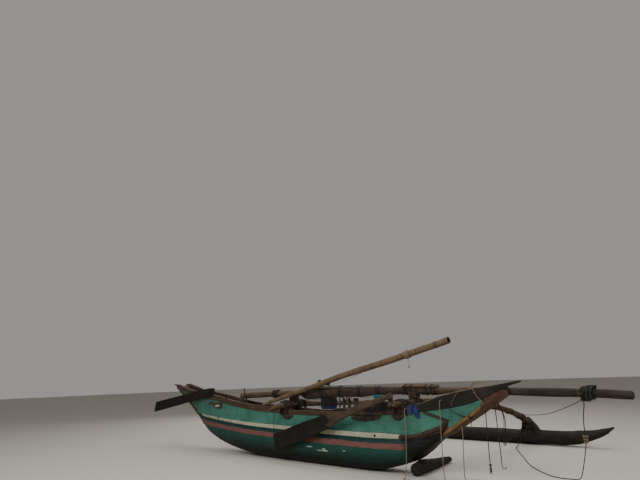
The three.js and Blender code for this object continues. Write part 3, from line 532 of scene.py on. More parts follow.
class Bundle:
    """Tubes gathered into one mesh."""

    def __init__(self):
        self.verts, self.faces, self.grain = [], [], []

    def tube(self, path, radius, sides=6, strands=0, lay=0.06, closed=False):
        """A tube along a path. strands gives it the lobes of a laid rope, one turn in each lay."""
        path = np.asarray(path, dtype=float)
        radius = np.broadcast_to(radius, (len(path),))
        _, across, over = carried_frames(path, closed)
        steps = np.linalg.norm(np.diff(path, axis=0), axis=1)
        run = np.concatenate([[0.0], np.cumsum(steps)])
        first = sum(len(v) for v in self.verts)
        angles = np.arange(sides) * 2 * math.pi / sides
        for i, centre in enumerate(path):
            reach = np.full(sides, radius[i])
            if strands:
                phase = strands * (angles - run[i] / lay * 2 * math.pi)
                reach = radius[i] * (0.87 + 0.13 * np.cos(phase))
            ring = (centre + np.outer(np.cos(angles) * reach, across[i])
                    + np.outer(np.sin(angles) * reach, over[i]))
            self.verts.append(ring)
            turned = np.stack(
                [np.full(sides, run[i]), angles * radius[i], np.full(sides, radius[i])], axis=1)
            self.grain.append(turned)
        rings = len(path)
        for i in range(rings if closed else rings - 1):
            low, high = first + i * sides, first + (i + 1) % rings * sides
            for k in range(sides):
                n = (k + 1) % sides
                self.faces.append((low + k, low + n, high + n, high + k))
        if not closed:
            self.faces.append(tuple(first + k for k in reversed(range(sides))))
            self.faces.append(tuple(first + (rings - 1) * sides + k for k in range(sides)))

    def piece(self, name, finish, slot, body="canoe"):
        """Make the gathered tubes one named piece."""
        obj = new_mesh_object(name, np.vstack(self.verts), self.faces)
        set_grain(obj.data, np.vstack(self.grain))
        smooth(obj.data, 60)
        dress(obj, finish, slot, body)
        return obj


def curve_through(points, step=0.012):
    """Points every few millimetres on a centripetal Catmull-Rom curve through the given ones."""
    points = [np.array(p, dtype=float) for p in points]
    row = [2 * points[0] - points[1], *points, 2 * points[-1] - points[-2]]
    made = []
    for p0, p1, p2, p3 in zip(row, row[1:], row[2:], row[3:]):
        knots = [0.0]
        for a, b in ((p0, p1), (p1, p2), (p2, p3)):
            knots.append(knots[-1] + max(np.linalg.norm(b - a), 1e-6) ** 0.5)
        t0, t1, t2, t3 = knots
        count = max(int(np.linalg.norm(p2 - p1) / step), 2)
        for t in np.linspace(t1, t2, count, endpoint=False):
            a1 = (t1 - t) / (t1 - t0) * p0 + (t - t0) / (t1 - t0) * p1
            a2 = (t2 - t) / (t2 - t1) * p1 + (t - t1) / (t2 - t1) * p2
            a3 = (t3 - t) / (t3 - t2) * p2 + (t - t2) / (t3 - t2) * p3
            b1 = (t2 - t) / (t2 - t0) * a1 + (t - t0) / (t2 - t0) * a2
            b2 = (t3 - t) / (t3 - t1) * a2 + (t - t1) / (t3 - t1) * a3
            made.append((t2 - t) / (t2 - t1) * b1 + (t - t1) / (t2 - t1) * b2)
    made.append(points[-1])
    return np.array(made)


def knot_path(centre, size, count=48):
    """A trefoil knot lying flat."""
    t = np.linspace(0, 2 * math.pi, count, endpoint=False)
    shape = np.stack([
        np.sin(t) + 2 * np.sin(2 * t), np.cos(t) - 2 * np.cos(2 * t), -np.sin(3 * t)], axis=1)
    return np.asarray(centre) + shape * size


# Finishes. Every pattern's scale comes from a size in millimetres.


def add_node(tree, kind, inputs=None, **settings):
    """Add one shader node: settings are its properties, inputs its values or the sockets that feed it."""
    node = tree.nodes.new(kind)
    for name, value in settings.items():
        setattr(node, name, value)
    for name, value in (inputs or {}).items():
        if isinstance(value, bpy.types.NodeSocket):
            tree.links.new(value, node.inputs[name])
        else:
            node.inputs[name].default_value = value
    return node


def per_metre(millimetres):
    return 1000.0 / millimetres


def rgba(colour):
    return (*tuple(colour)[:3], 1.0)


def start_finish(name, roughness=0.7, metallic=0.0, gloss=0.25):
    """A new material with its shader's plain values set."""
    finish = bpy.data.materials.new(name)
    finish.use_nodes = True
    shader = finish.node_tree.nodes["Principled BSDF"]
    shader.inputs["Roughness"].default_value = roughness
    shader.inputs["Metallic"].default_value = metallic
    shader.inputs["Specular IOR Level"].default_value = gloss
    return finish, finish.node_tree, shader


def give_bump(tree, shader, height, distance, strength):
    """Relief of a given depth in metres."""
    bump = add_node(tree, "ShaderNodeBump", {
        "Height": height, "Distance": distance, "Strength": strength})
    tree.links.new(bump.outputs["Normal"], shader.inputs["Normal"])


def drawn_out(tree, stretch):
    """Grain coordinates drawn out along the grain."""
    grain = add_node(tree, "ShaderNodeAttribute", attribute_name="grain")
    scaled = add_node(tree, "ShaderNodeVectorMath", {
        0: grain.outputs["Vector"], 1: (1 / stretch, 1.0, 1.0)}, operation="MULTIPLY")
    return grain.outputs["Vector"], scaled.outputs[0]


def split_lines(tree, coords, scale, width):
    """Thin lines where a drawn-out noise crosses its middle: drying splits and joints."""
    lines = add_node(tree, "ShaderNodeTexNoise", {
        "Vector": coords, "Scale": scale, "Detail": 2.0, "Roughness": 0.45})
    off = add_node(tree, "ShaderNodeMath", {0: lines.outputs["Fac"], 1: 0.5}, operation="SUBTRACT")
    size = add_node(tree, "ShaderNodeMath", {0: off.outputs[0]}, operation="ABSOLUTE")
    near = add_node(tree, "ShaderNodeMapRange", {
        "Value": size.outputs[0], "From Min": 0.0, "From Max": width, "To Min": 1.0, "To Max": 0.0})
    return near.outputs[0]


def timber(name, pale, dark, grain_mm, greying, splits, roughness=0.78):
    """Sawn or peeled tropical timber, bare and sun-worn: fibres, grey patches and drying splits."""
    finish, tree, shader = start_finish(name, roughness)
    plain, along = drawn_out(tree, 22.0)
    _, long = drawn_out(tree, 60.0)
    fibre = add_node(tree, "ShaderNodeTexNoise", {
        "Vector": along, "Scale": per_metre(grain_mm * 2), "Detail": 7.0, "Roughness": 0.66})
    patch = add_node(tree, "ShaderNodeTexNoise", {
        "Vector": plain, "Scale": per_metre(340), "Detail": 5.0, "Roughness": 0.6})
    shade = add_node(tree, "ShaderNodeMapRange", {
        "Value": fibre.outputs["Fac"], "From Min": 0.34, "From Max": 0.68})
    wood = add_node(tree, "ShaderNodeMix", {
        0: shade.outputs[0], 6: rgba(linear(dark)), 7: rgba(linear(pale))}, data_type="RGBA")
    grey_share = add_node(tree, "ShaderNodeMapRange", {
        "Value": patch.outputs["Fac"], "From Min": 0.42, "From Max": 0.66, "To Max": greying})
    grey = add_node(tree, "ShaderNodeMix", {
        0: grey_share.outputs[0], 6: wood.outputs[2], 7: rgba(linear("#625a4e"))}, data_type="RGBA")
    crack = split_lines(tree, long, per_metre(30), 0.016)
    cracked = add_node(tree, "ShaderNodeMath", {0: crack, 1: splits}, operation="MULTIPLY")
    final = add_node(tree, "ShaderNodeMix", {
        0: cracked.outputs[0], 6: grey.outputs[2], 7: rgba(linear("#0f0d0b"))}, data_type="RGBA")
    tree.links.new(final.outputs[2], shader.inputs["Base Color"])
    rough = add_node(tree, "ShaderNodeMapRange", {
        "Value": fibre.outputs["Fac"], "To Min": roughness - 0.12, "To Max": roughness + 0.12})
    tree.links.new(rough.outputs[0], shader.inputs["Roughness"])
    height = add_node(tree, "ShaderNodeMath", {
        0: fibre.outputs["Fac"], 1: cracked.outputs[0]}, operation="SUBTRACT")
    give_bump(tree, shader, height.outputs[0], 0.003, 0.7)
    return finish


def worn_paint(name, colour, under, chip_share, fade, roughness=0.55):
    """Oil paint on planks, chalked by sun and salt, with chips down to the wood and rubbed arrises."""
    finish, tree, shader = start_finish(name, roughness)
    plain, along = drawn_out(tree, 9.0)
    cloud = add_node(tree, "ShaderNodeTexNoise", {
        "Vector": plain, "Scale": per_metre(420), "Detail": 6.0, "Roughness": 0.62})
    streak = add_node(tree, "ShaderNodeTexNoise", {
        "Vector": along, "Scale": per_metre(22), "Detail": 5.0, "Roughness": 0.6})
    chips = add_node(tree, "ShaderNodeTexNoise", {
        "Vector": along, "Scale": per_metre(34), "Detail": 8.0, "Roughness": 0.7})
    fade_share = add_node(tree, "ShaderNodeMapRange", {
        "Value": cloud.outputs["Fac"], "From Min": 0.38, "From Max": 0.68, "To Max": fade})
    darker = add_node(tree, "ShaderNodeMix", {
        0: fade_share.outputs[0], 6: colour, 7: rgba(linear("#1a2a28"))}, data_type="RGBA")
    worn = add_node(tree, "ShaderNodeMapRange", {
        "Value": streak.outputs["Fac"], "From Min": 0.3, "From Max": 0.75,
        "To Min": 0.82, "To Max": 1.12})
    toned = add_node(tree, "ShaderNodeVectorMath", {
        0: darker.outputs[2], 3: worn.outputs[0]}, operation="SCALE")
    edge = add_node(tree, "ShaderNodeNewGeometry")
    rub = add_node(tree, "ShaderNodeMapRange", {
        "Value": edge.outputs["Pointiness"], "From Min": 0.51, "From Max": 0.58, "To Max": 0.22})
    both = add_node(tree, "ShaderNodeMath", {
        0: chips.outputs["Fac"], 1: rub.outputs[0]}, operation="ADD")
    bare = add_node(tree, "ShaderNodeMapRange", {
        "Value": both.outputs[0], "From Min": 0.74 - chip_share, "From Max": 0.77 - chip_share})
    final = add_node(tree, "ShaderNodeMix", {
        0: bare.outputs[0], 6: toned.outputs[0], 7: under}, data_type="RGBA")
    tree.links.new(final.outputs[2], shader.inputs["Base Color"])
    rough = add_node(tree, "ShaderNodeMapRange", {
        "Value": bare.outputs[0], "To Min": roughness, "To Max": 0.85})
    tree.links.new(rough.outputs[0], shader.inputs["Roughness"])
    height = add_node(tree, "ShaderNodeMath", {
        0: streak.outputs["Fac"], 1: bare.outputs[0]}, operation="SUBTRACT")
    give_bump(tree, shader, height.outputs[0], 0.0018, 0.55)
    return finish


# Depth below the seam, in metres, at which each colour of the bottom starts
BAND_TOP, BAND_FOOT, KEEL_TOP, KEEL_FOOT = 0.056, 0.140, 0.20, 0.42
BAND_END = (2.80, 2.92)          # distance along the hull over which the bands give way to black
EDGE_BLUR = 0.004


def bottom_paint(colours):
    """Antifouling paint brushed on adzed timber: teal line, pink band, green, and tar at the keel."""
    finish, tree, shader = start_finish("Bottom paint", 0.5)
    plain, along = drawn_out(tree, 8.0)
    below = add_node(tree, "ShaderNodeAttribute", attribute_name="below")
    cloud = add_node(tree, "ShaderNodeTexNoise", {
        "Vector": plain, "Scale": per_metre(260), "Detail": 6.0, "Roughness": 0.62})
    fine = add_node(tree, "ShaderNodeTexNoise", {
        "Vector": along, "Scale": per_metre(18), "Detail": 7.0, "Roughness": 0.68})
    wander = add_node(tree, "ShaderNodeMapRange", {
        "Value": cloud.outputs["Fac"], "To Min": -0.016, "To Max": 0.016})
    depth = add_node(tree, "ShaderNodeMath", {
        0: below.outputs["Fac"], 1: wander.outputs[0]}, operation="ADD")
    colour = rgba(colours.bottom_line)
    steps = [
        (BAND_TOP, BAND_TOP + EDGE_BLUR, colours.bottom_band),
        (BAND_FOOT, BAND_FOOT + EDGE_BLUR, colours.bottom_green),
        (KEEL_TOP, KEEL_FOOT, colours.bottom_black),
    ]
    for start, stop, following in steps:
        share = add_node(tree, "ShaderNodeMapRange", {
            "Value": depth.outputs[0], "From Min": start, "From Max": stop})
        mixed = add_node(tree, "ShaderNodeMix", {
            0: share.outputs[0], 6: colour, 7: rgba(following)}, data_type="RGBA")
        colour = mixed.outputs[2]
    bow = add_node(tree, "ShaderNodeAttribute", attribute_name="bow")
    tarred = add_node(tree, "ShaderNodeMix", {
        0: bow.outputs["Fac"], 6: colour, 7: rgba(colours.bottom_black)}, data_type="RGBA")
    colour = tarred.outputs[2]
    dirt = add_node(tree, "ShaderNodeMapRange", {
        "Value": fine.outputs["Fac"], "From Min": 0.35, "From Max": 0.7, "To Min": 0.62, "To Max": 1.2})
    toned = add_node(tree, "ShaderNodeVectorMath", {0: colour, 3: dirt.outputs[0]}, operation="SCALE")
    scrape = add_node(tree, "ShaderNodeAttribute", attribute_name="scrape")
    ragged = add_node(tree, "ShaderNodeMath", {
        0: fine.outputs["Fac"], 1: scrape.outputs["Fac"]}, operation="MULTIPLY")
    bare = add_node(tree, "ShaderNodeMapRange", {
        "Value": ragged.outputs[0], "From Min": 0.30, "From Max": 0.38})
    final = add_node(tree, "ShaderNodeMix", {
        0: bare.outputs[0], 6: toned.outputs[0], 7: rgba(linear("#8d9a8f"))}, data_type="RGBA")
    tree.links.new(final.outputs[2], shader.inputs["Base Color"])
    rough = add_node(tree, "ShaderNodeMapRange", {
        "Value": cloud.outputs["Fac"], "To Min": 0.38, "To Max": 0.7})
    tree.links.new(rough.outputs[0], shader.inputs["Roughness"])
    give_bump(tree, shader, fine.outputs["Fac"], 0.003, 0.5)
    return finish


def laid_rope(name, colour, lay_mm=45, roughness=0.9):
    """Three-strand laid fibre rope: slanting strands, with paler worn crowns."""
    finish, tree, shader = start_finish(name, roughness)
    grain = add_node(tree, "ShaderNodeAttribute", attribute_name="grain")
    parts = add_node(tree, "ShaderNodeSeparateXYZ", {0: grain.outputs["Vector"]})
    angle = add_node(tree, "ShaderNodeMath", {
        0: parts.outputs["Y"], 1: parts.outputs["Z"]}, operation="DIVIDE")
    turn = add_node(tree, "ShaderNodeMath", {
        0: parts.outputs["X"], 1: 2 * math.pi * per_metre(lay_mm)}, operation="MULTIPLY")
    phase = add_node(tree, "ShaderNodeMath", {
        0: angle.outputs[0], 1: turn.outputs[0]}, operation="SUBTRACT")
    three = add_node(tree, "ShaderNodeMath", {0: phase.outputs[0], 1: 3.0}, operation="MULTIPLY")
    crown = add_node(tree, "ShaderNodeMath", {0: three.outputs[0]}, operation="COSINE")
    fuzz = add_node(tree, "ShaderNodeTexNoise", {
        "Vector": grain.outputs["Vector"], "Scale": per_metre(9), "Detail": 6.0, "Roughness": 0.7})
    mix = add_node(tree, "ShaderNodeMath", {
        0: crown.outputs[0], 1: 0.3, 2: fuzz.outputs["Fac"]}, operation="MULTIPLY_ADD")
    tone = add_node(tree, "ShaderNodeMapRange", {
        "Value": mix.outputs[0], "From Min": 0.1, "From Max": 0.9, "To Min": 0.45, "To Max": 1.35})
    toned = add_node(tree, "ShaderNodeVectorMath", {
        0: rgba(colour)[:3], 3: tone.outputs[0]}, operation="SCALE")
    tree.links.new(toned.outputs[0], shader.inputs["Base Color"])
    give_bump(tree, shader, mix.outputs[0], 0.002, 0.8)
    return finish


def tanned_canvas(name, colour, thread_mm=5.0):
    """Heavy woven cotton, cutch-tanned and salt-stiff. The threads are drawn coarse enough to show."""
    finish, tree, shader = start_finish(name, 0.92)
    grain = add_node(tree, "ShaderNodeAttribute", attribute_name="grain")
    heights = []
    for direction in ("X", "Y"):
        thread = add_node(tree, "ShaderNodeTexWave", {
            "Vector": grain.outputs["Vector"], "Scale": per_metre(thread_mm) / 20, "Distortion": 0.6},
            bands_direction=direction)
        heights.append(thread.outputs["Fac"])
    weave = add_node(tree, "ShaderNodeMath", {0: heights[0], 1: heights[1]}, operation="MULTIPLY")
    stain = add_node(tree, "ShaderNodeTexNoise", {
        "Vector": grain.outputs["Vector"], "Scale": per_metre(210), "Detail": 7.0, "Roughness": 0.65})
    tone = add_node(tree, "ShaderNodeMapRange", {
        "Value": stain.outputs["Fac"], "From Min": 0.32, "From Max": 0.7,
        "To Min": 0.45, "To Max": 1.45})
    toned = add_node(tree, "ShaderNodeVectorMath", {
        0: rgba(colour)[:3], 3: tone.outputs[0]}, operation="SCALE")
    tree.links.new(toned.outputs[0], shader.inputs["Base Color"])
    both = add_node(tree, "ShaderNodeMath", {
        0: weave.outputs[0], 1: 0.35, 2: stain.outputs["Fac"]}, operation="MULTIPLY_ADD")
    give_bump(tree, shader, both.outputs[0], 0.004, 0.6)
    shader.inputs["Sheen Weight"].default_value = 0.15
    return finish


def bamboo_skin(name, pale, dark):
    """Smoke-brown bamboo skin: fine straight fibres, blotches and a soft waxy gloss."""
    finish, tree, shader = start_finish(name, 0.5)
    plain, along = drawn_out(tree, 30.0)
    fibre = add_node(tree, "ShaderNodeTexNoise", {
        "Vector": along, "Scale": per_metre(7), "Detail": 6.0, "Roughness": 0.6})
    blot = add_node(tree, "ShaderNodeTexNoise", {
        "Vector": plain, "Scale": per_metre(160), "Detail": 6.0, "Roughness": 0.66})
    joint = add_node(tree, "ShaderNodeAttribute", attribute_name="joint")
    base = add_node(tree, "ShaderNodeMix", {
        0: fibre.outputs["Fac"], 6: rgba(linear(dark)), 7: rgba(linear(pale))}, data_type="RGBA")
    stained = add_node(tree, "ShaderNodeMapRange", {
        "Value": blot.outputs["Fac"], "From Min": 0.45, "From Max": 0.7, "To Max": 0.65})
    dark_mix = add_node(tree, "ShaderNodeMix", {
        0: stained.outputs[0], 6: base.outputs[2], 7: rgba(linear("#2c231b"))}, data_type="RGBA")
    ring = add_node(tree, "ShaderNodeMath", {0: joint.outputs["Fac"], 1: 0.8}, operation="MULTIPLY")
    final = add_node(tree, "ShaderNodeMix", {
        0: ring.outputs[0], 6: dark_mix.outputs[2], 7: rgba(linear("#211a14"))}, data_type="RGBA")
    tree.links.new(final.outputs[2], shader.inputs["Base Color"])
    give_bump(tree, shader, fibre.outputs["Fac"], 0.0012, 0.5)
    return finish


def rusted_iron(name):
    """Forged iron nail or hook, rusted right over: dull orange-brown crust."""
    finish, tree, shader = start_finish(name, 0.85, 0.2)
    grain = add_node(tree, "ShaderNodeAttribute", attribute_name="grain")
    crust = add_node(tree, "ShaderNodeTexNoise", {
        "Vector": grain.outputs["Vector"], "Scale": per_metre(12), "Detail": 6.0})
    mix = add_node(tree, "ShaderNodeMix", {
        0: crust.outputs["Fac"], 6: rgba(linear("#1d1613")), 7: rgba(linear("#5d3824"))},
        data_type="RGBA")
    tree.links.new(mix.outputs[2], shader.inputs["Base Color"])
    give_bump(tree, shader, crust.outputs["Fac"], 0.001, 0.6)
    return finish


# Timbers: pale and dark fibre, fibre width in millimetres, share greyed, strength of the splits
TIMBERS = {
    # grey-brown boards with open splits, the look of old deck timber
    "Weathered boards": ("#503e2e", "#221913", 9, 0.25, 0.9),
    # rails rubbed by hands and ropes, so a little warmer and smoother
    "Rubbed rail timber": ("#56422f", "#251b13", 8, 0.2, 0.8),
    # peeled round poles, straight fibres and long splits
    "Peeled pole": ("#5d4932", "#291e14", 7, 0.25, 0.9),
    # the spar's bow end, handled and tarred
    "Dark peeled pole": ("#32281e", "#15100c", 7, 0.15, 0.9),
    # driftwood float log, dark with damp
    "Float log": ("#221c16", "#0e0b09", 11, 0.08, 0.9),
    # jak wood end boards stained yellow brown
    "Stained end boards": ("#8d6c3c", "#4a3218", 8, 0.15, 0.6),
    # reddish bow head timber
    "Red heartwood": ("#5d3a28", "#2a1811", 8, 0.15, 0.7),
    # tarred boards that hang at the side, nearly black
    "Tarred boards": ("#191510", "#0a0807", 8, 0.04, 0.85),
    # horn planks near black: painted shade, the dark of the shadow they lie in
    "Painted shade planks": ("#24201a", "#0f0d0b", 9, 0.1, 0.85),
    # the front of the bow board, stained red brown
    "Red brown board": ("#5e4423", "#2d1d0d", 8, 0.08, 0.7),
    # pads of bark-brown timber under the lashings
    "Bark brown pads": ("#49362a", "#20170f", 7, 0.15, 0.7),
}

FINISHES = {}


def make_finishes(colours):
    """Make every finish once, under its own name."""
    for name, settings in TIMBERS.items():
        FINISHES[name] = timber(name, *settings)
    under = rgba(colours.topside_under)
    FINISHES["Topside paint"] = worn_paint("Topside paint", rgba(colours.topside), under, 0.02, 0.55)
    FINISHES["Batten paint"] = worn_paint("Batten paint", rgba(colours.batten), under, 0.1, 0.35)
    FINISHES["Bottom paint"] = bottom_paint(colours)
    FINISHES["Dry rope"] = laid_rope("Dry rope", colours.rope_pale)
    FINISHES["Tarred rope"] = laid_rope("Tarred rope", colours.rope_dark)
    FINISHES["Teal rope"] = laid_rope("Teal rope", colours.rope_teal, roughness=0.6)
    FINISHES["New teal rope"] = laid_rope("New teal rope", colours.rope_teal_bright, roughness=0.6)
    FINISHES["Netting twine"] = laid_rope("Netting twine", colours.net, lay_mm=20)
    FINISHES["Tanned canvas"] = tanned_canvas("Tanned canvas", colours.canvas)
    FINISHES["Net cloth"] = tanned_canvas("Net cloth", colours.net, thread_mm=9.0)
    FINISHES["Blue cloth"] = tanned_canvas("Blue cloth", colours.rag_blue)
    FINISHES["Bamboo skin"] = bamboo_skin("Bamboo skin", "#7c6549", "#443626")
    FINISHES["Rusted iron"] = rusted_iron("Rusted iron")


# The stage


def view_matrix(stage):
    """Camera matrix from its place, yaw, pitch and roll."""
    ahead = Vector((
        math.sin(stage.yaw) * math.cos(stage.pitch), math.cos(stage.yaw) * math.cos(stage.pitch),
        math.sin(stage.pitch)))
    level = Vector((math.cos(stage.yaw), -math.sin(stage.yaw), 0.0))
    upright = level.cross(ahead)
    c, s = math.cos(stage.roll), math.sin(stage.roll)
    right = level * c + upright * s
    up = upright * c - level * s
    turned = Matrix((right, up, -ahead)).transposed().to_4x4()
    return Matrix.Translation(stage.eye) @ turned


# Lights: place, the point each faces, side in metres, share of the key power
LIGHTS = {
    "Key light": ((4.0, -9.5, 7.5), (0.0, 0.0, 0.8), 6.0, 1.0),
    "Bow light": ((13.0, -1.5, 5.0), (2.0, 1.0, 0.8), 5.0, 0.55),
    "Top light": ((0.0, 3.0, 10.0), (0.0, 1.5, 0.5), 8.0, 0.7),
    "Far light": ((-9.0, 9.0, 6.0), (0.0, 2.0, 0.6), 7.0, 0.5),
}


FLOOR_SIDES = 96
FLOOR_DROP = 0.0015              # the floor lies this much below the lowest point of the canoe
SEES_TO = 400.0                  # how far the camera sees, in metres


class CANOE_OT_stage(bpy.types.Operator):
    """Makes the camera, the pale floor and the soft lights"""

    bl_idname = "canoe.stage"
    bl_label = "Stage"

    def execute(self, context):
        scene = context.scene
        stage = scene.canoe_stage
        camera = bpy.data.objects.new("Camera", bpy.data.cameras.new("Camera"))
        camera.data.sensor_width = 36.0
        camera.data.lens = stage.lens
        camera.data.clip_end = SEES_TO
        camera.matrix_world = view_matrix(stage)
        scene.collection.objects.link(camera)
        scene.camera = camera
        rim = [Vector((math.cos(a), math.sin(a), 0.0)) * stage.floor_radius
               for a in np.linspace(0, 2 * math.pi, FLOOR_SIDES, endpoint=False)]
        floor = new_mesh_object("studio_floor", rim, [tuple(range(len(rim)))])
        floor.location.z = -FLOOR_DROP
        paper, _, shader = start_finish("Studio paper", 0.9)
        shader.inputs["Base Color"].default_value = rgba(stage.floor_colour)
        floor.data.materials.append(paper)
        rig.stage(floor)
        for name, (place, target, side, share) in LIGHTS.items():
            lamp = bpy.data.lights.new(name, "AREA")
            lamp.size = side
            lamp.energy = stage.key_power * share
            holder = bpy.data.objects.new(name, lamp)
            holder.location = place
            way = Vector(target) - Vector(place)
            holder.rotation_mode = "QUATERNION"
            holder.rotation_quaternion = way.to_track_quat("-Z", "Y")
            scene.collection.objects.link(holder)
        world = bpy.data.worlds.new("Surround")
        world.use_nodes = True
        scene.world = world
        shade = world.node_tree.nodes["Background"]
        shade.inputs["Color"].default_value = rgba(stage.sky_colour)
        shade.inputs["Strength"].default_value = stage.sky_power
        return {"FINISHED"}


# Free ropes


ROPE_RADIUS = 0.007
LAID = 0.0075                  # height of the middle of a rope that lies on the floor

# Each route starts where the rope leaves the canoe; these points are the frame's own, in metres
ROPES = {
    "rope_fore_lashing": [
        (2.956, -0.235, 1.012), (2.956, -0.25, 1.011), (2.957, -0.268, 0.998), (2.960, -0.28, 0.970),
        (2.965, -0.288, 0.900), (2.968, -0.294, 0.700), (2.966, -0.302, 0.500), (2.960, -0.312, 0.300),
        (2.952, -0.322, 0.150), (2.946, -0.332, 0.060), (2.946, -0.352, 0.016), (2.958, -0.392, LAID),
        (2.995, -0.445, LAID), (3.050, -0.478, LAID), (3.120, -0.485, LAID)],
    "rope_bow_horn": [
        (3.600, -0.1983, 1.140), (3.600, -0.214, 1.139), (3.600, -0.228, 1.126), (3.599, -0.234, 1.095),
        (3.596, -0.237, 1.000), (3.592, -0.239, 0.880), (3.585, -0.24, 0.700), (3.577, -0.237, 0.500),
        (3.570, -0.23, 0.300), (3.565, -0.221, 0.130), (3.563, -0.212, 0.050), (3.571, -0.20, 0.014),
        (3.605, -0.184, LAID), (3.665, -0.172, LAID), (3.745, -0.186, LAID)],
    "rope_end_board": [
        (3.8602, -0.12, 0.789), (3.869, -0.12, 0.7745), (3.874, -0.119, 0.752), (3.874, -0.116, 0.710),
        (3.864, -0.105, 0.600), (3.842, -0.085, 0.450), (3.816, -0.06, 0.300), (3.792, -0.036, 0.150),
        (3.782, -0.022, 0.055), (3.788, -0.002, 0.014), (3.812, 0.028, LAID), (3.860, 0.062, LAID),
        (3.930, 0.084, LAID)],
    "rope_bow_tassel": [
        (4.2302, -0.05, 1.0073), (4.238, -0.05, 0.994), (4.243, -0.05, 0.970), (4.243, -0.05, 0.925),
        (4.240, -0.05, 0.780), (4.236, -0.05, 0.600), (4.233, -0.05, 0.420), (4.232, -0.05, 0.262)],
    "rope_bow_hook": [
        (4.3602, 0.000, 1.0894), (4.368, 0.000, 1.076), (4.373, 0.000, 1.052), (4.374, 0.001, 1.005),
        (4.376, 0.003, 0.850), (4.379, 0.005, 0.640), (4.381, 0.006, 0.440), (4.381, 0.007, 0.300)],
    "rope_spar_float": [
        (5.490, 0.3277, 1.138), (5.489, 0.329, 1.122), (5.484, 0.338, 1.068), (5.448, 0.375, 0.960),
        (5.400, 0.450, 0.804), (5.358, 0.550, 0.639), (5.316, 0.630, 0.510), (5.245, 0.720, 0.356),
        (5.160, 0.815, 0.175), (5.105, 0.870, 0.075), (5.050, 0.915, 0.020), (4.990, 0.938, LAID),
        (4.900, 0.925, LAID), (4.770, 0.925, LAID), (4.600, 1.010, LAID), (4.440, 1.150, LAID),
        (4.080, 1.540, LAID), (3.800, 1.930, LAID), (3.500, 2.400, LAID), (3.100, 3.020, LAID),
        (2.800, 3.520, LAID), (2.710, 3.760, LAID), (2.682, 3.880, 0.016), (2.673, 3.962, 0.062),
        (2.670, 4.012, 0.115), (2.670, 4.040, 0.142), (2.670, 4.0566, 0.143)],
}
ROPE_FINISH = {"rope_bow_tassel": "Tarred rope", "rope_bow_hook": "Tarred rope",
               "rope_spar_float": "Tarred rope"}
KNOT_RISE = 0.006              # a knot on the floor stands this much above the rope's middle
LOW_END = 0.05                 # a rope that ends below this height lies on the floor
TASSEL_STRANDS = 34
HOOK = {"bend": 0.03, "wire": 0.0055}


def tail_piece(node, end, rope_finish):
    """What a free rope ends in: a stopper knot, a frayed tassel or an iron hook."""
    made = Bundle()
    if node == "rope_bow_hook":
        bend = [end + np.array((
            HOOK["bend"] * (1 - math.cos(a)), 0.0, -0.05 - HOOK["bend"] * math.sin(a)))
            for a in np.linspace(0, math.pi * 1.05, 14)]
        shank = [end + np.array((0.0, 0.0, 0.012)), end + np.array((0.0, 0.0, -0.03))]
        made.tube(shank + bend, HOOK["wire"], 8)
        return made.piece("iron_hook", "Rusted iron", "rope")
    if node == "rope_bow_tassel":
        draw = random.Random(5)
        made.tube(knot_path(end, 0.0055), 0.0062, 6, closed=True)
        for _ in range(TASSEL_STRANDS):
            lean, turn = draw.uniform(0.0, 0.030), draw.uniform(0, 2 * math.pi)
            drop = draw.uniform(0.07, 0.13)
            side = np.array((math.cos(turn), math.sin(turn), 0.0)) * lean
            made.tube([end, end + side * 0.55 - (0, 0, drop * 0.5), end + side - (0, 0, drop)],
                      [0.003, 0.0026, 0.0015], 4)
        return made.piece("frayed_tassel", rope_finish, "rope")
    rise = 0.0 if end[2] > LOW_END else KNOT_RISE
    made.tube(knot_path(end + (0, 0, rise), 0.0045), 0.0062, 6, closed=True)
    return made.piece(f"knot_of_{node}", rope_finish, "rope")


class CANOE_OT_free_ropes(bpy.types.Operator):
    """Makes the six loose ropes with their knots, tassel and hook"""

    bl_idname = "canoe.free_ropes"
    bl_label = "Free ropes"

    def execute(self, context):
        for node, route in ROPES.items():
            path = curve_through(route)
            rope_finish = ROPE_FINISH.get(node, "Dry rope")
            made = Bundle()
            made.tube(path, ROPE_RADIUS, 12, strands=3, lay=0.05)
            rope = made.piece(f"laid_{node}", rope_finish, "rope")
            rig.replaces(rope, node)
            run = float(np.linalg.norm(np.diff(path, axis=0), axis=1).sum())
            if node == "rope_spar_float":
                pieces, far_end = [], "object"
            else:
                pieces = [tail_piece(node, path[-1], rope_finish)]
                far_end = "fitting" if node == "rope_bow_hook" else "knot"
            hanging = node in ("rope_bow_tassel", "rope_bow_hook")
            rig.cord(rope, exit=route[0], length=round(run, 3), diameter=2 * ROPE_RADIUS,
                    far_end=far_end, stiffness="limp", lay="hanging" if hanging else "loose",
                    path=path.tolist(), with_pieces=pieces)
        return {"FINISHED"}


# Hull


# Scrapes in the bottom paint: from, to and height, in metres along the starboard bilge
SCRAPES = [(0.55, 0.93, 0.315), (0.98, 1.26, 0.30), (1.60, 1.78, 0.30), (0.86, 1.40, 0.27)]
SCRAPE_HALF = 0.022              # half the height of a scrape
PAINT_END = 2.80                 # the batten is bare wood forward of this distance
HEAD_FROM = 4.24                 # the bow board's dark head begins here
SEAM_SPAN = (-3.44, 3.53)        # where along the hull the dugout's upper edge is read
TAR_RAKE = 0.25                  # how far the tarred bow's edge leans, for each metre of height
STRIP_RISE = 0.022               # the brown strip on the planks ends this far above a batten's foot
NAILS_SPAN = (-3.1, 3.2)
HULL_LINE = [(-4.9, 0.0, 0.6), (4.9, 0.0, 0.6)]
THWART_LINE = [(0, -0.3, 0.8), (0, 0.3, 0.8)]


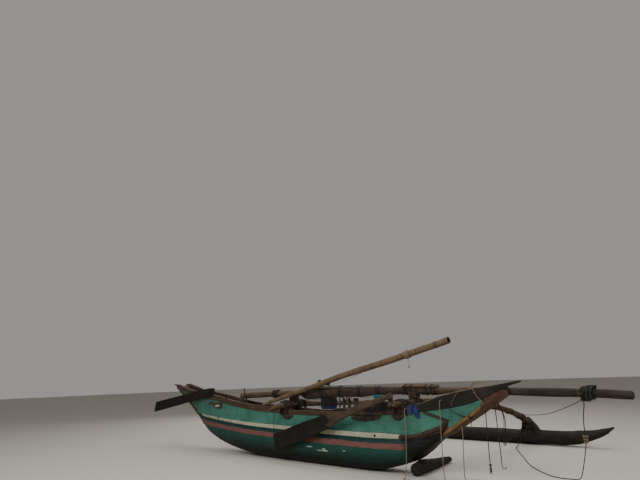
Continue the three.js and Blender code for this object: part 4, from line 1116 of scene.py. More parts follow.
def second_finish(obj, finish, chosen):
    """Give a further finish to the faces that chosen picks by their centres and directions."""
    obj.data.materials.append(FINISHES[finish])
    faces = obj.data.polygons
    centres, ways = np.empty(len(faces) * 3), np.empty(len(faces) * 3)
    faces.foreach_get("center", centres)
    faces.foreach_get("normal", ways)
    index = np.empty(len(faces), dtype=np.int32)
    faces.foreach_get("material_index", index)
    index[chosen(centres.reshape(-1, 3), ways.reshape(-1, 3))] = len(obj.data.materials) - 1
    faces.foreach_set("material_index", index)


class CANOE_OT_hull(bpy.types.Operator):
    """Dresses the dugout, its raised planks, rails, battens, end boards and thwarts"""

    bl_idname = "canoe.hull"
    bl_label = "Hull"

    def execute(self, context):
        self.dugout()
        for side in ("starboard", "port"):
            self.planking(side)
        board = worn_copy("bow_end_board", "Stained end boards", "end_wood", levels=3, uneven=0.004)
        second_finish(board, "Red brown board", lambda centre, way: np.abs(way[:, 1]) < 0.6)
        second_finish(board, "Red heartwood", lambda centre, way: centre[:, 0] > HEAD_FROM)
        worn_copy("stern_end_board", "Weathered boards", "end_wood", levels=3, uneven=0.005)
        for node in ("thwart_stern", "thwart_middle", "thwart_bow"):
            worn_copy(node, "Weathered boards", "old_wood", soft=False, levels=2, line=THWART_LINE)
        self.nails(context.scene.canoe_sizes.nail_pitch)
        return {"FINISHED"}

    def dugout(self):
        """The hewn log, with its depth below the seam, its tarred bow and its scrapes marked."""
        log = worn_copy("dugout_hull", "Bottom paint", "hull_paint", levels=3, uneven=0.006,
                        scale=7.0, stretch=2.6, line=HULL_LINE)
        places = mesh_places(log.data)
        stations = np.linspace(*SEAM_SPAN, 60)
        seams = np.array([cut_box("dugout_hull", 0, x)[1][2] for x in stations])
        set_share(log.data, "below", np.interp(places[:, 0], stations, seams) - places[:, 2])
        set_share(log.data, "bow", np.interp(
            places[:, 0] + TAR_RAKE * (places[:, 2] - 0.5), BAND_END, (0.0, 1.0)))
        scrape = np.zeros(len(places))
        for start, stop, height in SCRAPES:
            inside = 1 - np.abs((places[:, 0] - (start + stop) / 2) / ((stop - start) / 2)) ** 2
            level = 1 - np.abs((places[:, 2] - height) / SCRAPE_HALF) ** 2
            near = np.clip(inside, 0, 1) * np.clip(level, 0, 1) * (places[:, 1] < 0)
            scrape = np.maximum(scrape, near)
        set_share(log.data, "scrape", scrape)

    def strip_edge(self, side):
        """Upper edge of the brown strip that shows on the planks along the bare battens."""
        edge = []
        for node, first in ((f"rub_batten_{side}", PAINT_END), (f"arrow_batten_{side}", -math.inf)):
            ends = [corner[0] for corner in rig.box(node)]
            for x in np.linspace(max(ends[0] + 0.01, first), ends[1] - 0.03, 10):
                edge.append((x, cut_box(node, 0, x)[0][2] + STRIP_RISE))
        return np.array(sorted(edge)).T

    def planking(self, side):
        """One side's planks, rail, horn plank and battens."""
        xs, feet = self.strip_edge(side)
        for node, levels in ((f"side_plank_{side}", 3), (f"bow_plank_{side}", 4)):
            plank = worn_copy(node, "Topside paint", "topside_paint", uneven=0.0025, scale=5.0,
                              stretch=3.0, levels=levels, line=HULL_LINE)
            second_finish(plank, "Bark brown pads", lambda centre, way: (
                (centre[:, 0] > xs[0]) & (centre[:, 0] < xs[-1])
                & (centre[:, 2] < np.interp(centre[:, 0], xs, feet))))
        worn_copy(f"gunwale_rail_{side}", "Rubbed rail timber", "rail_wood", levels=3,
                  uneven=0.008, scale=10.0, stretch=6.0, line=HULL_LINE)
        # the horn plank's near-black finish is painted shade for the shadow it lies in
        worn_copy(f"bow_horn_plank_{side}", "Painted shade planks", "old_wood", levels=3,
                  uneven=0.006, scale=10.0, stretch=6.0, line=HULL_LINE)
        batten = worn_copy(f"rub_batten_{side}", "Batten paint", "white_paint", soft=False,
                           levels=2, uneven=0.002, line=HULL_LINE)
        second_finish(batten, "Weathered boards", lambda centre, way: centre[:, 0] > PAINT_END)
        worn_copy(f"arrow_batten_{side}", "Bark brown pads", "end_wood", soft=False, levels=2)

    def nails(self, pitch):
        """Clenched nail heads along the rubbing battens."""
        made = Bundle()
        for side, sign in (("starboard", -1), ("port", 1)):
            node = f"rub_batten_{side}"
            for x in np.arange(*NAILS_SPAN, pitch):
                low, high = cut_box(node, 0, x)
                face = low[1] if sign < 0 else high[1]
                z = (low[2] + high[2]) / 2
                made.tube([(x, face - sign * 0.006, z), (x, face + sign * 0.0015, z),
                           (x, face + sign * 0.003, z)], [0.005, 0.005, 0.003], 8)
        made.piece("batten_nails", "Rusted iron", "white_paint")


# Booms and their lashings


BOOMS = {
    "fore": {"x": 2.83, "poles": ["fore_boom_pole_aft", "fore_boom_pole_fore"]},
    "aft": {"x": 0.0, "poles": ["aft_boom_pole_aft", "aft_boom_pole_fore"]},
}
COLLAR_STATIONS = [0.9, 1.55, 2.2, 2.8, 3.35, 3.78]
COLLAR_TURNS = 4
FRAPPING_TURNS = 4               # turns that cross over the top of a rail lashing
FLOAT_TURNS = 7                  # turns round the float on each side of a boom
FLOAT_TURNS_FROM = 0.098         # the nearest of them, from the boom's middle
FLOAT_ARC = (math.radians(-56), math.radians(236))
HEAP_TURNS = 34                  # turns heaped over each boom's outer end
HEAP_FROM, HEAP_WIDTH = -0.135, 0.245      # where the heap lies, from the float's middle
POLE_END = 4.25                  # the boom's grain is followed this far out
# The tail of each float lashing: place along and out from the float's middle, and height above
# the float, which is in metres at its start and then in thicknesses of rope
TAIL_START = (0.10, -0.05, 0.02)
TAIL = [(0.22, -0.06, 1.0), (0.32, -0.05, 0.5), (0.42, -0.07, 0.4)]
# Newer teal turns over a float lashing: place from the float's middle, and slant
TEAL_TURNS = [(-0.12, 0.05), (-0.02, -0.06), (0.07, 0.03)]


def over_poles(centres, radius, y_from, y_to, count=14):
    """Half a turn over a row of poles, from the +X side to the -X side."""
    points = []
    for i, angle in enumerate(np.linspace(0, math.pi, count)):
        centre = centres[1] if math.cos(angle) > 0 else centres[0]
        y = y_from + (y_to - y_from) * i / (count - 1)
        points.append((centre[0] + radius * math.cos(angle), y, centre[2] + radius * math.sin(angle)))
    return points


def crossing(poles, y):
    """Centres of the outer poles of a boom at a distance out, and their radius."""
    cuts = [cut_box(node, 1, y) for node in poles]
    radius = (cuts[0][1][0] - cuts[0][0][0]) / 2
    centres = [(low + high) / 2 for low, high in cuts]
    centres.sort(key=lambda c: c[0])
    return [centres[0], centres[-1]], radius


def rail_lashing(made, poles, rail, boom_x, turns, rope, draw):
    """Square lashing of a boom to a rail, with crossed frapping turns over the top."""
    rail_low, rail_high = cut_box(rail, 0, boom_x)
    y_mid = (rail_low[1] + rail_high[1]) / 2
    half = (rail_high[1] - rail_low[1]) / 2
    centres, radius = crossing(poles, y_mid)
    foot = rail_low[2] - rope
    for i in range(turns):
        out = half + rope * (i + 0.6)
        reach = radius + rope * 0.5
        spread = rope * i * 0.7
        loop = []
        for sign in (1, -1):
            y = y_mid + sign * out
            y_foot = y_mid + sign * (half + rope * 0.6)
            arc = over_poles(centres, reach, y, y)
            if sign < 0:
                arc = arc[::-1]
            x_up, x_down = arc[0][0], arc[-1][0]
            lean = spread * (1 if x_up > x_down else -1)
            loop.append((x_up + lean, y_foot, foot))
            loop.append((x_up + lean * 0.5, y_foot + (y - y_foot) * 0.5, (foot + arc[0][2]) / 2))
            loop.extend(arc)
            loop.append((x_down - lean * 0.5, y_foot + (y - y_foot) * 0.5, (foot + arc[0][2]) / 2))
            loop.append((x_down - lean, y_foot, foot))
        stray = np.array([[draw.uniform(-0.002, 0.002) for _ in range(3)] for _ in loop])
        made.tube(np.array(loop) + stray, rope / 2, 7, closed=True)
    for i in range(FRAPPING_TURNS):
        tilt = (1 if i % 2 else -1) * (half + rope * (1.2 + i // 2))
        arc = over_poles(centres, radius + rope * 1.5, y_mid + tilt, y_mid - tilt)
        start = (arc[0][0], arc[0][1], foot + rope)
        stop = (arc[-1][0], arc[-1][1], foot + rope)
        made.tube([start, *arc, stop], rope / 2, 7)


def pole_collar(made, poles, y, rope, draw):
    """A few close turns round all the poles of a boom."""
    for i in range(COLLAR_TURNS):
        at_y = y + (i - COLLAR_TURNS / 2) * rope * 1.02
        centres, radius = crossing(poles, at_y)
        slope = middle(poles[0], 1, at_y + 0.02) - middle(poles[0], 1, at_y - 0.02)
        fall = slope[2] / slope[1]
        reach = radius + rope * 0.42 + draw.uniform(0, 0.002)
        loop = []
        for angle in np.linspace(0, 2 * math.pi, 22, endpoint=False):
            centre = centres[1] if math.cos(angle) > 0 else centres[0]
            up = reach * math.sin(angle)
            square = math.sqrt(1 + fall * fall)
            loop.append((centre[0] + reach * math.cos(angle), at_y - up * fall / square,
                         centre[2] + up / square))
        made.tube(loop, rope / 2, 7, closed=True)


def float_round(boom_x):
    """Middle and radius of the float's round section at a boom: out, up and radius."""
    low, high = cut_box("float_log", 0, boom_x)
    radius = (high[1] - low[1]) / 2
    return (low[1] + high[1]) / 2, high[2] - radius, radius


def float_lashing(made, poles, boom_x, rope, draw):
    """Turns round the float on both sides of a boom, and a dense heap of turns over the poles."""
    centre_y, centre_z, log_radius = float_round(boom_x)

    def on_log(x, y, up):
        """A point on the float's upper face."""
        off = min(abs(y - centre_y), log_radius * 0.97)
        return (x, y, centre_z + math.sqrt(log_radius ** 2 - off ** 2) + up)

    reach = log_radius + rope * 0.45
    for i in range(FLOAT_TURNS):
        for sign in (1, -1):
            x = boom_x + sign * (FLOAT_TURNS_FROM + rope * 1.02 * i)
            loop = []
            for angle in np.linspace(*FLOAT_ARC, 30):
                y = centre_y + reach * math.cos(angle)
                z = centre_z + reach * math.sin(angle)
                loop.append((x + draw.uniform(-0.001, 0.001), y, max(z, rope / 2)))
            made.tube(loop, rope / 2, 7)
    for i in range(HEAP_TURNS):
        y = centre_y + HEAP_FROM + HEAP_WIDTH * i / HEAP_TURNS + draw.uniform(-0.006, 0.006)
        slant = draw.uniform(-0.03, 0.03)
        centres, radius = crossing(poles, y)
        arc = over_poles(centres, radius + rope * (0.45 + draw.uniform(0.0, 1.1)), y, y + slant)
        feet = []
        for sign, end in ((1, arc[0]), (-1, arc[-1])):
            spread = draw.uniform(0.012, 0.095)
            foot = on_log(end[0] + sign * spread, end[1], rope * 0.3)
            belly = ((end[0] * 0.55 + foot[0] * 0.45) + sign * 0.006, end[1], (end[2] + foot[2]) / 2)
            feet.append((belly, foot))
        path = [feet[0][1], feet[0][0], *arc, feet[1][0], feet[1][1]]
        made.tube(curve_through(path, 0.015), rope / 2, 7)
    tail = [on_log(boom_x + TAIL_START[0], centre_y + TAIL_START[1], TAIL_START[2])]
    tail += [on_log(boom_x + along, centre_y + out, rope * up) for along, out, up in TAIL]
    laid = curve_through(tail, 0.02)
    made.tube(laid, np.linspace(rope * 0.9, rope * 0.3, len(laid)), 7)


def teal_turns(made, poles, boom_x, rope):
    """Odd turns of newer teal rope over a float lashing."""
    centre_y = float_round(boom_x)[0]
    for out, slant in TEAL_TURNS:
        y = centre_y + out
        centres, radius = crossing(poles, y)
        made.tube(over_poles(centres, radius + rope * 1.9, y, y + slant), rope * 0.45, 7)


class CANOE_OT_booms(bpy.types.Operator):
    """Dresses the booms and winds their lashings at the rails and the float"""

    bl_idname = "canoe.booms"
    bl_label = "Booms"

    def execute(self, context):
        sizes = context.scene.canoe_sizes
        rope = sizes.rope
        draw = random.Random(11)
        for boom, facts in BOOMS.items():
            for node in facts["poles"]:
                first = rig.box(node)[0][1] + 0.02
                line = middle_line(node, 1, first, POLE_END, 14)
                worn_copy(node, "Peeled pole", "pole_wood", levels=3, uneven=0.007, scale=9.0,
                          stretch=3.5, line=line, swell=0.0025)
            inner = facts["poles"] if boom == "fore" else facts["poles"][:1]
            for side in ("starboard", "port"):
                made = Bundle()
                rail_lashing(made, inner, f"gunwale_rail_{side}", facts["x"], sizes.lashing_turns,
                             rope, draw)
                piece = made.piece(f"{boom}_crossing_{side}", "Tarred rope", "rope")
                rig.replaces(piece, f"{boom}_boom_lashing_{side}")
            made = Bundle()
            for y in COLLAR_STATIONS:
                pole_collar(made, facts["poles"], y, rope, draw)
            made.piece(f"{boom}_boom_collars", "Tarred rope", "rope")
            made = Bundle()
            worn_copy(f"{boom}_float_lashing", "Net cloth", "rope", soft=False, levels=2, uneven=0.008,
                      scale=22.0, stretch=1.0)
            float_lashing(made, facts["poles"], facts["x"], rope, draw)
            made.piece(f"{boom}_float_turns", "Tarred rope", "rope")
            made = Bundle()
            teal_turns(made, facts["poles"], facts["x"], rope)
            made.piece(f"{boom}_teal_turns", "New teal rope", "blue_rope")
        worn_copy("float_log", "Float log", "old_wood", levels=3, uneven=0.012, scale=6.0,
                  stretch=3.0, swell=0.004)
        return {"FINISHED"}


# Spar and furled sail


# The furled sail's outline: distance along, depth of its middle below the spar's, radius
ROLL = [(0.215, 0.004, 0.084), (0.260, 0.012, 0.114), (0.404, 0.022, 0.134), (0.920, 0.012, 0.114),
        (1.660, 0.022, 0.106), (2.030, 0.004, 0.084), (2.600, 0.002, 0.070), (3.000, 0.002, 0.068),
        (3.330, 0.000, 0.066)]
SAIL_TIES = [0.36, 0.80, 1.24, 1.707, 2.12, 2.689, 3.097, 3.26]
STICK_TIES = [2.689, 2.804, 3.097, 3.195]
DARK_FROM = 4.45                 # the spar is dark forward of this distance
SAIL_SPAN = (0.222, 3.322)       # where along the hull the furled sail begins and ends
SAIL_STEPS = 34                  # corners in one turn of the sail's spiral
SAIL_CORE = 0.0605               # radius of the hole that the spar fills
MARLING_SPAN = (0.36, 3.24)
MARLING_PITCH = 0.41             # distance along the roll between turns of the marling line
BUNDLE_LAYERS = (0.74, 0.87, 0.97)         # each layer's outer radius as a share of the bundle's
BUNDLE_STEPS = 18                # corners in one turn round the bundle
BUNDLE_MIDDLE = 5.57


def spar_middle(x):
    """Middle of the long spar at a distance along the hull."""
    return middle("long_spar", 0, x)


def roll_at(x):
    """Middle and outer radius of the furled sail."""
    table = np.array(ROLL)
    centre = spar_middle(x)
    centre[2] -= np.interp(x, table[:, 0], table[:, 1])
    return centre, float(np.interp(x, table[:, 0], table[:, 2]))


def pinch(x):
    """How far a tie draws the roll in: 1 under the tie, 0 away from it."""
    return max(math.exp(-((x - tie) / 0.035) ** 2) for tie in SAIL_TIES)


def furled_sail(turns):
    """The sail as one sheet, wound round the spar in a loose spiral with long folds."""
    along = np.linspace(*SAIL_SPAN, 156)
    count = int(turns * SAIL_STEPS)
    verts, cloth = [], []
    for x in along:
        centre, radius = roll_at(x)
        draw_in = 1 - 0.13 * pinch(x)
        run = 0.0
        last = None
        for k in range(count + 1):
            share = k / count
            angle = 2 * math.pi * turns * share + 0.5
            room = (radius * draw_in - SAIL_CORE) / turns
            fold = noise.fractal(
                Vector((x * 1.3, math.cos(angle) * 1.6 + share * 3, math.sin(angle) * 1.6)), 0.7, 2.0, 3)
            crease = noise.noise(Vector((x * 2.2, angle * 2.4, share * 5)))
            swing = (fold * 0.9 + crease * 0.5) * min(room * 0.42, 0.011) * (1 - 0.7 * pinch(x))
            reach = SAIL_CORE + (radius * draw_in - SAIL_CORE) * share ** 0.8 + swing - 0.004
            place = centre + np.array((0.0, reach * math.cos(angle), reach * math.sin(angle)))
            if last is not None:
                run += float(np.linalg.norm(place - last))
            last = place
            verts.append(place)
            cloth.append((x, run, 0.0))
    sail = new_mesh_object("furled_sail", verts, grid_faces(len(along), count + 1))
    set_grain(sail.data, cloth)
    smooth(sail.data, 80)
    dress(sail, "Tanned canvas", "sailcloth")
    areas = np.array([f.area for f in sail.data.polygons])
    length = along[-1] - along[0]
    return sail, float(areas.sum() / length), float(length)


class CANOE_OT_spar_and_sail(bpy.types.Operator):
    """Makes the long spar, the furled sail, its ties, and the rope bundle on the spar's end"""

    bl_idname = "canoe.spar_and_sail"
    bl_label = "Spar and sail"

    def execute(self, context):
        sizes = context.scene.canoe_sizes
        spar_line = middle_line("long_spar", 0, -1.7, 6.08, 18)
        spar = worn_copy("long_spar", "Peeled pole", "pole_wood", levels=3, uneven=0.006, scale=8.0,
                         stretch=5.0, line=spar_line, swell=0.002)
        second_finish(spar, "Dark peeled pole", lambda centre, way: centre[:, 0] > DARK_FROM)
        worn_copy("spar_cross_pin", "Weathered boards", "old_wood", levels=2, uneven=0.002)
        sail, width, length = furled_sail(sizes.sail_turns)
        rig.replaces(sail, "sail_roll")
        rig.sheet(sail, flat=(round(width, 2), round(length, 2)), held="folded", rests_on=["long_spar"])
        self.ties(sizes)
        self.bundle(sizes)
        for node in ("aft_spar_saddle", "fore_spar_saddle"):
            worn_copy(node, "Weathered boards", "old_wood", soft=False, levels=2, uneven=0.004)
        low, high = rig.box("roll_sticks")
        worn_copy("roll_sticks", "Peeled pole", "old_wood", levels=2, uneven=0.003, scale=12.0,
                  line=[(low[0], low[1], low[2]), (high[0], low[1], low[2])])
        return {"FINISHED"}

    def ties(self, sizes):
        """Twine hitches round the roll and the long marling line between them."""
        made = Bundle()
        for tie in SAIL_TIES:
            centre, radius = roll_at(tie)
            for turn in (-1, 0, 1):
                reach = radius * 0.885 + 0.003
                loop = ring(centre + np.array((turn * sizes.rope * 0.8, 0.0, 0.0)),
                            np.array((0.0, reach, 0.0)), np.array((0.0, 0.0, reach)), 26)
                made.tube(loop, sizes.rope / 2, 7, closed=True)
        marling = []
        for x in np.linspace(*MARLING_SPAN, 260):
            centre, radius = roll_at(x)
            angle = 2 * math.pi * (x - MARLING_SPAN[0]) / MARLING_PITCH + 1.2
            reach = radius * (1 - 0.1 * pinch(x)) + 0.004
            marling.append(centre + np.array((0.0, reach * math.cos(angle), reach * math.sin(angle))))
        made.tube(marling, sizes.twine / 2, 6)
        for x in STICK_TIES:
            for turn in (-1, 0, 1):
                loop = snug_loop(["sail_roll", "roll_sticks"], 0, x + turn * sizes.twine, sizes.twine * 0.45)
                made.tube(loop, sizes.twine / 2, 6, closed=True)
        made.piece("sail_ties", "Tarred rope", "rope")

    def bundle(self, sizes):
        """Teal rope wound in layers on the spar's bow end."""
        places, _ = node_arrays("rope_bundle")
        first, last = places[:, 0].min(), places[:, 0].max()
        draw = random.Random(3)
        made = Bundle()
        rope = sizes.rope * 1.15
        for layer, share in enumerate(BUNDLE_LAYERS):
            path = []
            inset = 0.012 + 0.012 * layer
            turns = (last - first - 2 * inset) / rope
            steps = int(turns * BUNDLE_STEPS)
            lean = (layer - 1) * 0.22
            for i in range(steps + 1):
                x = first + inset + (last - first - 2 * inset) * i / steps
                low, high = cut_box("rope_bundle", 0, x)
                outer = (high[2] - low[2]) / 2
                centre = spar_middle(x)
                centre[2] = (low[2] + high[2]) / 2
                angle = 2 * math.pi * i / BUNDLE_STEPS
                reach = max(outer * share - rope * 0.5, 0.060 + rope * 0.5)
                reach += 0.003 * noise.noise(Vector((x * 60, math.cos(angle) * 2, layer)))
                slant = lean * reach * math.cos(angle)
                path.append(centre + np.array((slant, reach * math.cos(angle), reach * math.sin(angle))))
            made.tube(path, rope / 2, 7)
        for _ in range(5):
            turn = draw.uniform(0, 2 * math.pi)
            centre = spar_middle(BUNDLE_MIDDLE)
            loop = [centre + np.array((0.10 * math.cos(a) * math.sin(turn), 0.098 * math.cos(a + turn),
                                       0.098 * math.sin(a + turn)))
                    for a in np.linspace(0, 2 * math.pi, 30, endpoint=False)]
            made.tube(loop, rope / 2, 7, closed=True)
        piece = made.piece("wound_rope_bundle", "Teal rope", "blue_rope")
        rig.replaces(piece, "rope_bundle")
        made = Bundle()
        for _ in range(9):
            x = draw.uniform(first + 0.02, last - 0.02)
            slant = draw.uniform(-0.05, 0.05)
            low, high = cut_box("rope_bundle", 0, x)
            centre = spar_middle(x)
            centre[2] = (low[2] + high[2]) / 2
            reach = (high[2] - low[2]) / 2 + 0.001
            begin = draw.uniform(0, 2 * math.pi)
            loop = [centre + np.array((
                slant * math.sin(a - begin), reach * math.cos(a), reach * math.sin(a)))
                for a in np.linspace(begin, begin + draw.uniform(2.4, 4.6), 18)]
            made.tube(loop, 0.0028, 5)
        for _ in range(22):
            x = draw.uniform(first + 0.03, last - 0.03)
            low, high = cut_box("rope_bundle", 0, x)
            top = np.array((x, spar_middle(x)[1] + draw.uniform(-0.03, 0.03), low[2] + 0.008))
            fall = np.array((
                draw.uniform(-0.008, 0.008), draw.uniform(-0.006, 0.006), -draw.uniform(0.02, 0.045)))
            made.tube([top, top + fall * 0.5, top + fall], [0.0022, 0.0018, 0.0012], 4)
        made.piece("bundle_strands", "Dry rope", "blue_rope")


# Bamboo, rack, bag, pads, boards and roller


# Where along each pad its turns of rope lie, as shares of its length
PAD_BANDS = {
    "aft_pad_starboard": (0.3, 0.7),
    "middle_pad_starboard": (0.2, 0.5, 0.8),
    "fore_pad_starboard": (0.3, 0.7),
}
COIL_AT = (2.34, -0.185)         # the teal coil's middle on the net heap
COIL_REACH, COIL_RISE = 0.072, 0.0145      # its radius, and the height of each turn
CULM_SIDES = 24
CULM_WALL = 0.012
BESIDE_JOINT = (-0.012, -0.006, -0.002, 0.002, 0.006, 0.012)
WRAP_AT = 2.86                   # distance along the hull of the rope wrap on the bamboo
WRAP_TURNS, WRAP_STEPS = 6, 20
STRING_DROP = 0.14               # how far the knotted string hangs below the wrap
TIES_BELOW = (2.02, 1.05)        # how far down the bamboo from the wrap a slack string is tied
STRING_SAG = 0.015
# The dark knots where the bamboo crosses the sail: distance along the hull, and above or below it
CULM_KNOTS = ((0.87, 1), (1.05, -1))
BAG_SIDES, BAG_LEVELS = 56, 34
BAG_BLUE = 0.055                 # the bag is blue cloth up to this far above its foot


class CANOE_OT_gear(bpy.types.Operator):
    """Makes the bamboo pole, post rack, nets, lashing pads, cleats and chock log"""

    bl_idname = "canoe.gear"
    bl_label = "Gear"

    def execute(self, context):
        sizes = context.scene.canoe_sizes
        self.bamboo(sizes)
        self.net_bag()
        self.net_heap(sizes)
        rack = worn_copy("post_rack", "Weathered boards", "old_wood", soft=False, levels=2, uneven=0.004)
        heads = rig.box("post_rack")[1][2] - 0.05
        second_finish(rack, "Tarred boards", lambda centre, way: centre[:, 2] > heads)
        cleat = worn_copy("cleat_block_starboard", "Bark brown pads", "old_wood", soft=False, levels=3,
                          uneven=0.004)
        low, high = (np.array(corner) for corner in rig.box("cleat_block_starboard"))
        inset = (low + (high - low) * (0.55, 0.0, 0.22), low + (high - low) * (0.86, 1.0, 0.6))
        second_finish(cleat, "Batten paint", lambda centre, way: (
            np.all((centre > inset[0]) & (centre < inset[1]), axis=1) & (way[:, 1] < -0.6)))
        pads = ["aft_pad_starboard", "aft_pad_port", "middle_pad_starboard", "fore_pad_starboard",
                "fore_pad_port"]
        for node in pads:
            worn_copy(node, "Bark brown pads", "end_wood", soft=False, levels=2, uneven=0.005)
        worn_copy("chock_log", "Float log", "old_wood", levels=4, uneven=0.008, scale=8.0)
        self.pad_bands(sizes)
        return {"FINISHED"}

    def pad_bands(self, sizes):
        """Turns of rope that hold each starboard pad against the hull."""
        made = Bundle()
        for node, shares in PAD_BANDS.items():
            low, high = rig.box(node)
            for share in shares:
                x = low[0] + (high[0] - low[0]) * share
                for turn in (-1, 0, 1):
                    loop = snug_loop([node], 0, x + turn * sizes.twine, sizes.twine * 0.4)
                    made.tube(loop, sizes.twine / 2, 6, closed=True)
        made.piece("pad_bands", "Tarred rope", "rope")

    def net_heap(self, sizes):
        """A heap of dark net over the rail: a lumpy body, strands wandering over it, a teal coil."""
        worn_copy("net_heap", "Net cloth", "rope", levels=3, uneven=0.016, scale=26.0, stretch=1.6,
                  line=[(2.0, -0.2, 1.0), (2.7, -0.2, 1.0)])
        low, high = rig.box("net_heap")
        draw = random.Random(21)
        made = Bundle()
        for _ in range(40):
            x = draw.uniform(low[0] + 0.05, high[0] - 0.05)
            path = []
            for share in np.linspace(0.0, 1.0, 9):
                at_x = min(max(x + draw.uniform(-0.03, 0.03), low[0] + 0.02), high[0] - 0.02)
                box_low, box_high = cut_box("net_heap", 0, at_x)
                angle = math.pi * (0.06 + 0.88 * share)
                half = (box_high[1] - box_low[1]) / 2
                y = (box_low[1] + box_high[1]) / 2 - half * math.cos(angle)
                foot = box_high[2] - (box_high[2] - box_low[2]) * 0.55
                path.append((at_x, y, foot + (box_high[2] - foot) * math.sin(angle) ** 0.6 + 0.004))
            made.tube(curve_through(path, 0.02), 0.0028, 4)
        made.piece("net_heap_strands", "Netting twine", "rope")
        made = Bundle()
        top = cut_box("net_heap", 0, COIL_AT[0])[1][2]
        for turn in range(9):
            reach = COIL_REACH + draw.uniform(-0.012, 0.008)
            centre = np.array((COIL_AT[0] + draw.uniform(-0.008, 0.008), COIL_AT[1],
                               top + 0.004 + COIL_RISE * turn))
            lean = draw.uniform(-0.1, 0.1)
            loop = ring(centre, np.array((reach, 0.0, lean * reach)),
                        np.array((0.0, reach * 0.62, 0.0)), 28)
            made.tube(loop, sizes.rope * 0.55, 7, strands=3, closed=True)
        made.piece("teal_coil", "New teal rope", "blue_rope")

    def bamboo(self, sizes):
        """A hollow bamboo culm with swollen joints, and the rope wrap near its top."""
        low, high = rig.box("bamboo_pole")
        stations = np.linspace(low[0] + 0.03, high[0] - 0.03, 24)
        line = np.array([middle("bamboo_pole", 0, x) for x in stations])
        cuts = [cut_box("bamboo_pole", 0, x) for x in stations]
        radii = np.array([(b[1] - a[1]) / 2 for a, b in cuts])
        run = np.concatenate([[0.0], np.cumsum(np.linalg.norm(np.diff(line, axis=0), axis=1))])

        def centre_of(s):
            """The culm's middle at a length along it."""
            return np.array([np.interp(s, run, line[:, i]) for i in range(3)])

        def radius_of(s):
            """The culm's radius at a length along it."""
            return float(np.interp(s, run, radii))

        self.culm(run[-1], sizes.culm_pitch, centre_of, radius_of)
        wrap_at = float(np.interp(WRAP_AT, line[:, 0], run))
        way = centre_of(wrap_at + 0.05) - centre_of(wrap_at - 0.05)
        way = way / np.linalg.norm(way)
        side = np.cross(way, (0.0, 0.0, 1.0))
        side /= np.linalg.norm(side)
        up = np.cross(side, way)
        reach = radius_of(wrap_at) + sizes.rope * 0.45
        wrap = []
        for i in range(WRAP_TURNS * WRAP_STEPS):
            a = 2 * math.pi * i / WRAP_STEPS
            s = wrap_at + (i / WRAP_STEPS - WRAP_TURNS / 2) * sizes.rope
            wrap.append(centre_of(s) + side * math.cos(a) * reach + up * math.sin(a) * reach)
        made = Bundle()
        made.tube(wrap, sizes.rope / 2, 7)
        below = centre_of(wrap_at) - up * (reach + 0.004)
        end = below - np.array((0.0, 0.0, STRING_DROP))
        made.tube([below, (below + end) / 2, end], sizes.twine / 2, 6)
        made.tube(knot_path(end, 0.0052), 0.006, 6, closed=True)
        foot, tip = (wrap_at - distance for distance in TIES_BELOW)
        lower = centre_of(foot) - up * (radius_of(foot) + 0.03)
        upper = centre_of(tip) - up * (radius_of(tip) + 0.004)
        sagging = (lower + upper) / 2 - np.array((0.0, 0.0, STRING_SAG))
        made.tube(curve_through([lower, sagging, upper], 0.05), sizes.twine / 2, 6)
        for s in (foot, tip):
            reach = radius_of(s) + 0.004
            made.tube(ring(centre_of(s), side * reach, up * reach, 22), sizes.twine / 2, 6, closed=True)
        made.piece("bamboo_wrap", "Dry rope", "rope")
        made = Bundle()
        for x, sign in CULM_KNOTS:
            s = float(np.interp(x, line[:, 0], run))
            on_skin = centre_of(s) + up * sign * (radius_of(s) + 0.006)
            made.tube(knot_path(on_skin, 0.012), 0.009, 6, closed=True)
        made.piece("bamboo_knots", "Tarred rope", "rope")

    def culm(self, total, pitch, centre_of, radius_of):
        """The bamboo's wall: round outside, turned in at its tip and down the bore."""
        joints = np.arange(0.21, total, pitch)
        marks = sorted({*np.linspace(0, total, 150).round(4),
                        *[round(j + d, 4) for j in joints for d in BESIDE_JOINT if 0 < j + d < total]})
        centres, reaches, shares = [], [], []
        for s in marks:
            near = float(np.min(np.abs(joints - s)))
            ridge = (0.0035 * math.exp(-(near / 0.0045) ** 2)
                     - 0.0016 * math.exp(-((near - 0.011) / 0.004) ** 2))
            wave = 0.0012 * noise.noise(Vector((s * 3, 0.3, 0.7)))
            centres.append(centre_of(s))
            reaches.append(radius_of(s) + ridge + wave)
            shares.append(math.exp(-(near / 0.008) ** 2))
        inward = [len(marks) - 1 - i for i in range(1, 8)]
        path = centres + [centres[-1]] + [centres[i] for i in inward]
        reaches += [reaches[-1] - CULM_WALL] + [reaches[i] - CULM_WALL for i in inward]
        shares += [0.9] * (1 + len(inward))
        _, across, over = carried_frames(np.array(centres))
        across = list(across) + [across[-1]] * (1 + len(inward))
        over = list(over) + [over[-1]] * (1 + len(inward))
        verts, grain, joint = [], [], []
        for i, (centre, reach) in enumerate(zip(path, reaches)):
            for k in range(CULM_SIDES):
                a = 2 * math.pi * k / CULM_SIDES
                verts.append(centre + (across[i] * math.cos(a) * reach + over[i] * math.sin(a) * reach))
                grain.append((marks[min(i, len(marks) - 1)], reach * math.cos(a), reach * math.sin(a)))
                joint.append(shares[i])
        culm = new_mesh_object("bamboo_culm", verts, capped_faces(len(path), CULM_SIDES))
        set_grain(culm.data, grain)
        set_share(culm.data, "joint", joint)
        smooth(culm.data, 45)
        dress(culm, "Bamboo skin", "bamboo")
        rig.replaces(culm, "bamboo_pole")

    def net_bag(self):
        """A slack bag of netting hung under the sail, lumpy, with its mesh showing over dark cloth."""
        places, _ = node_arrays("net_bag")
        low_z, high_z = places[:, 2].min(), places[:, 2].max()

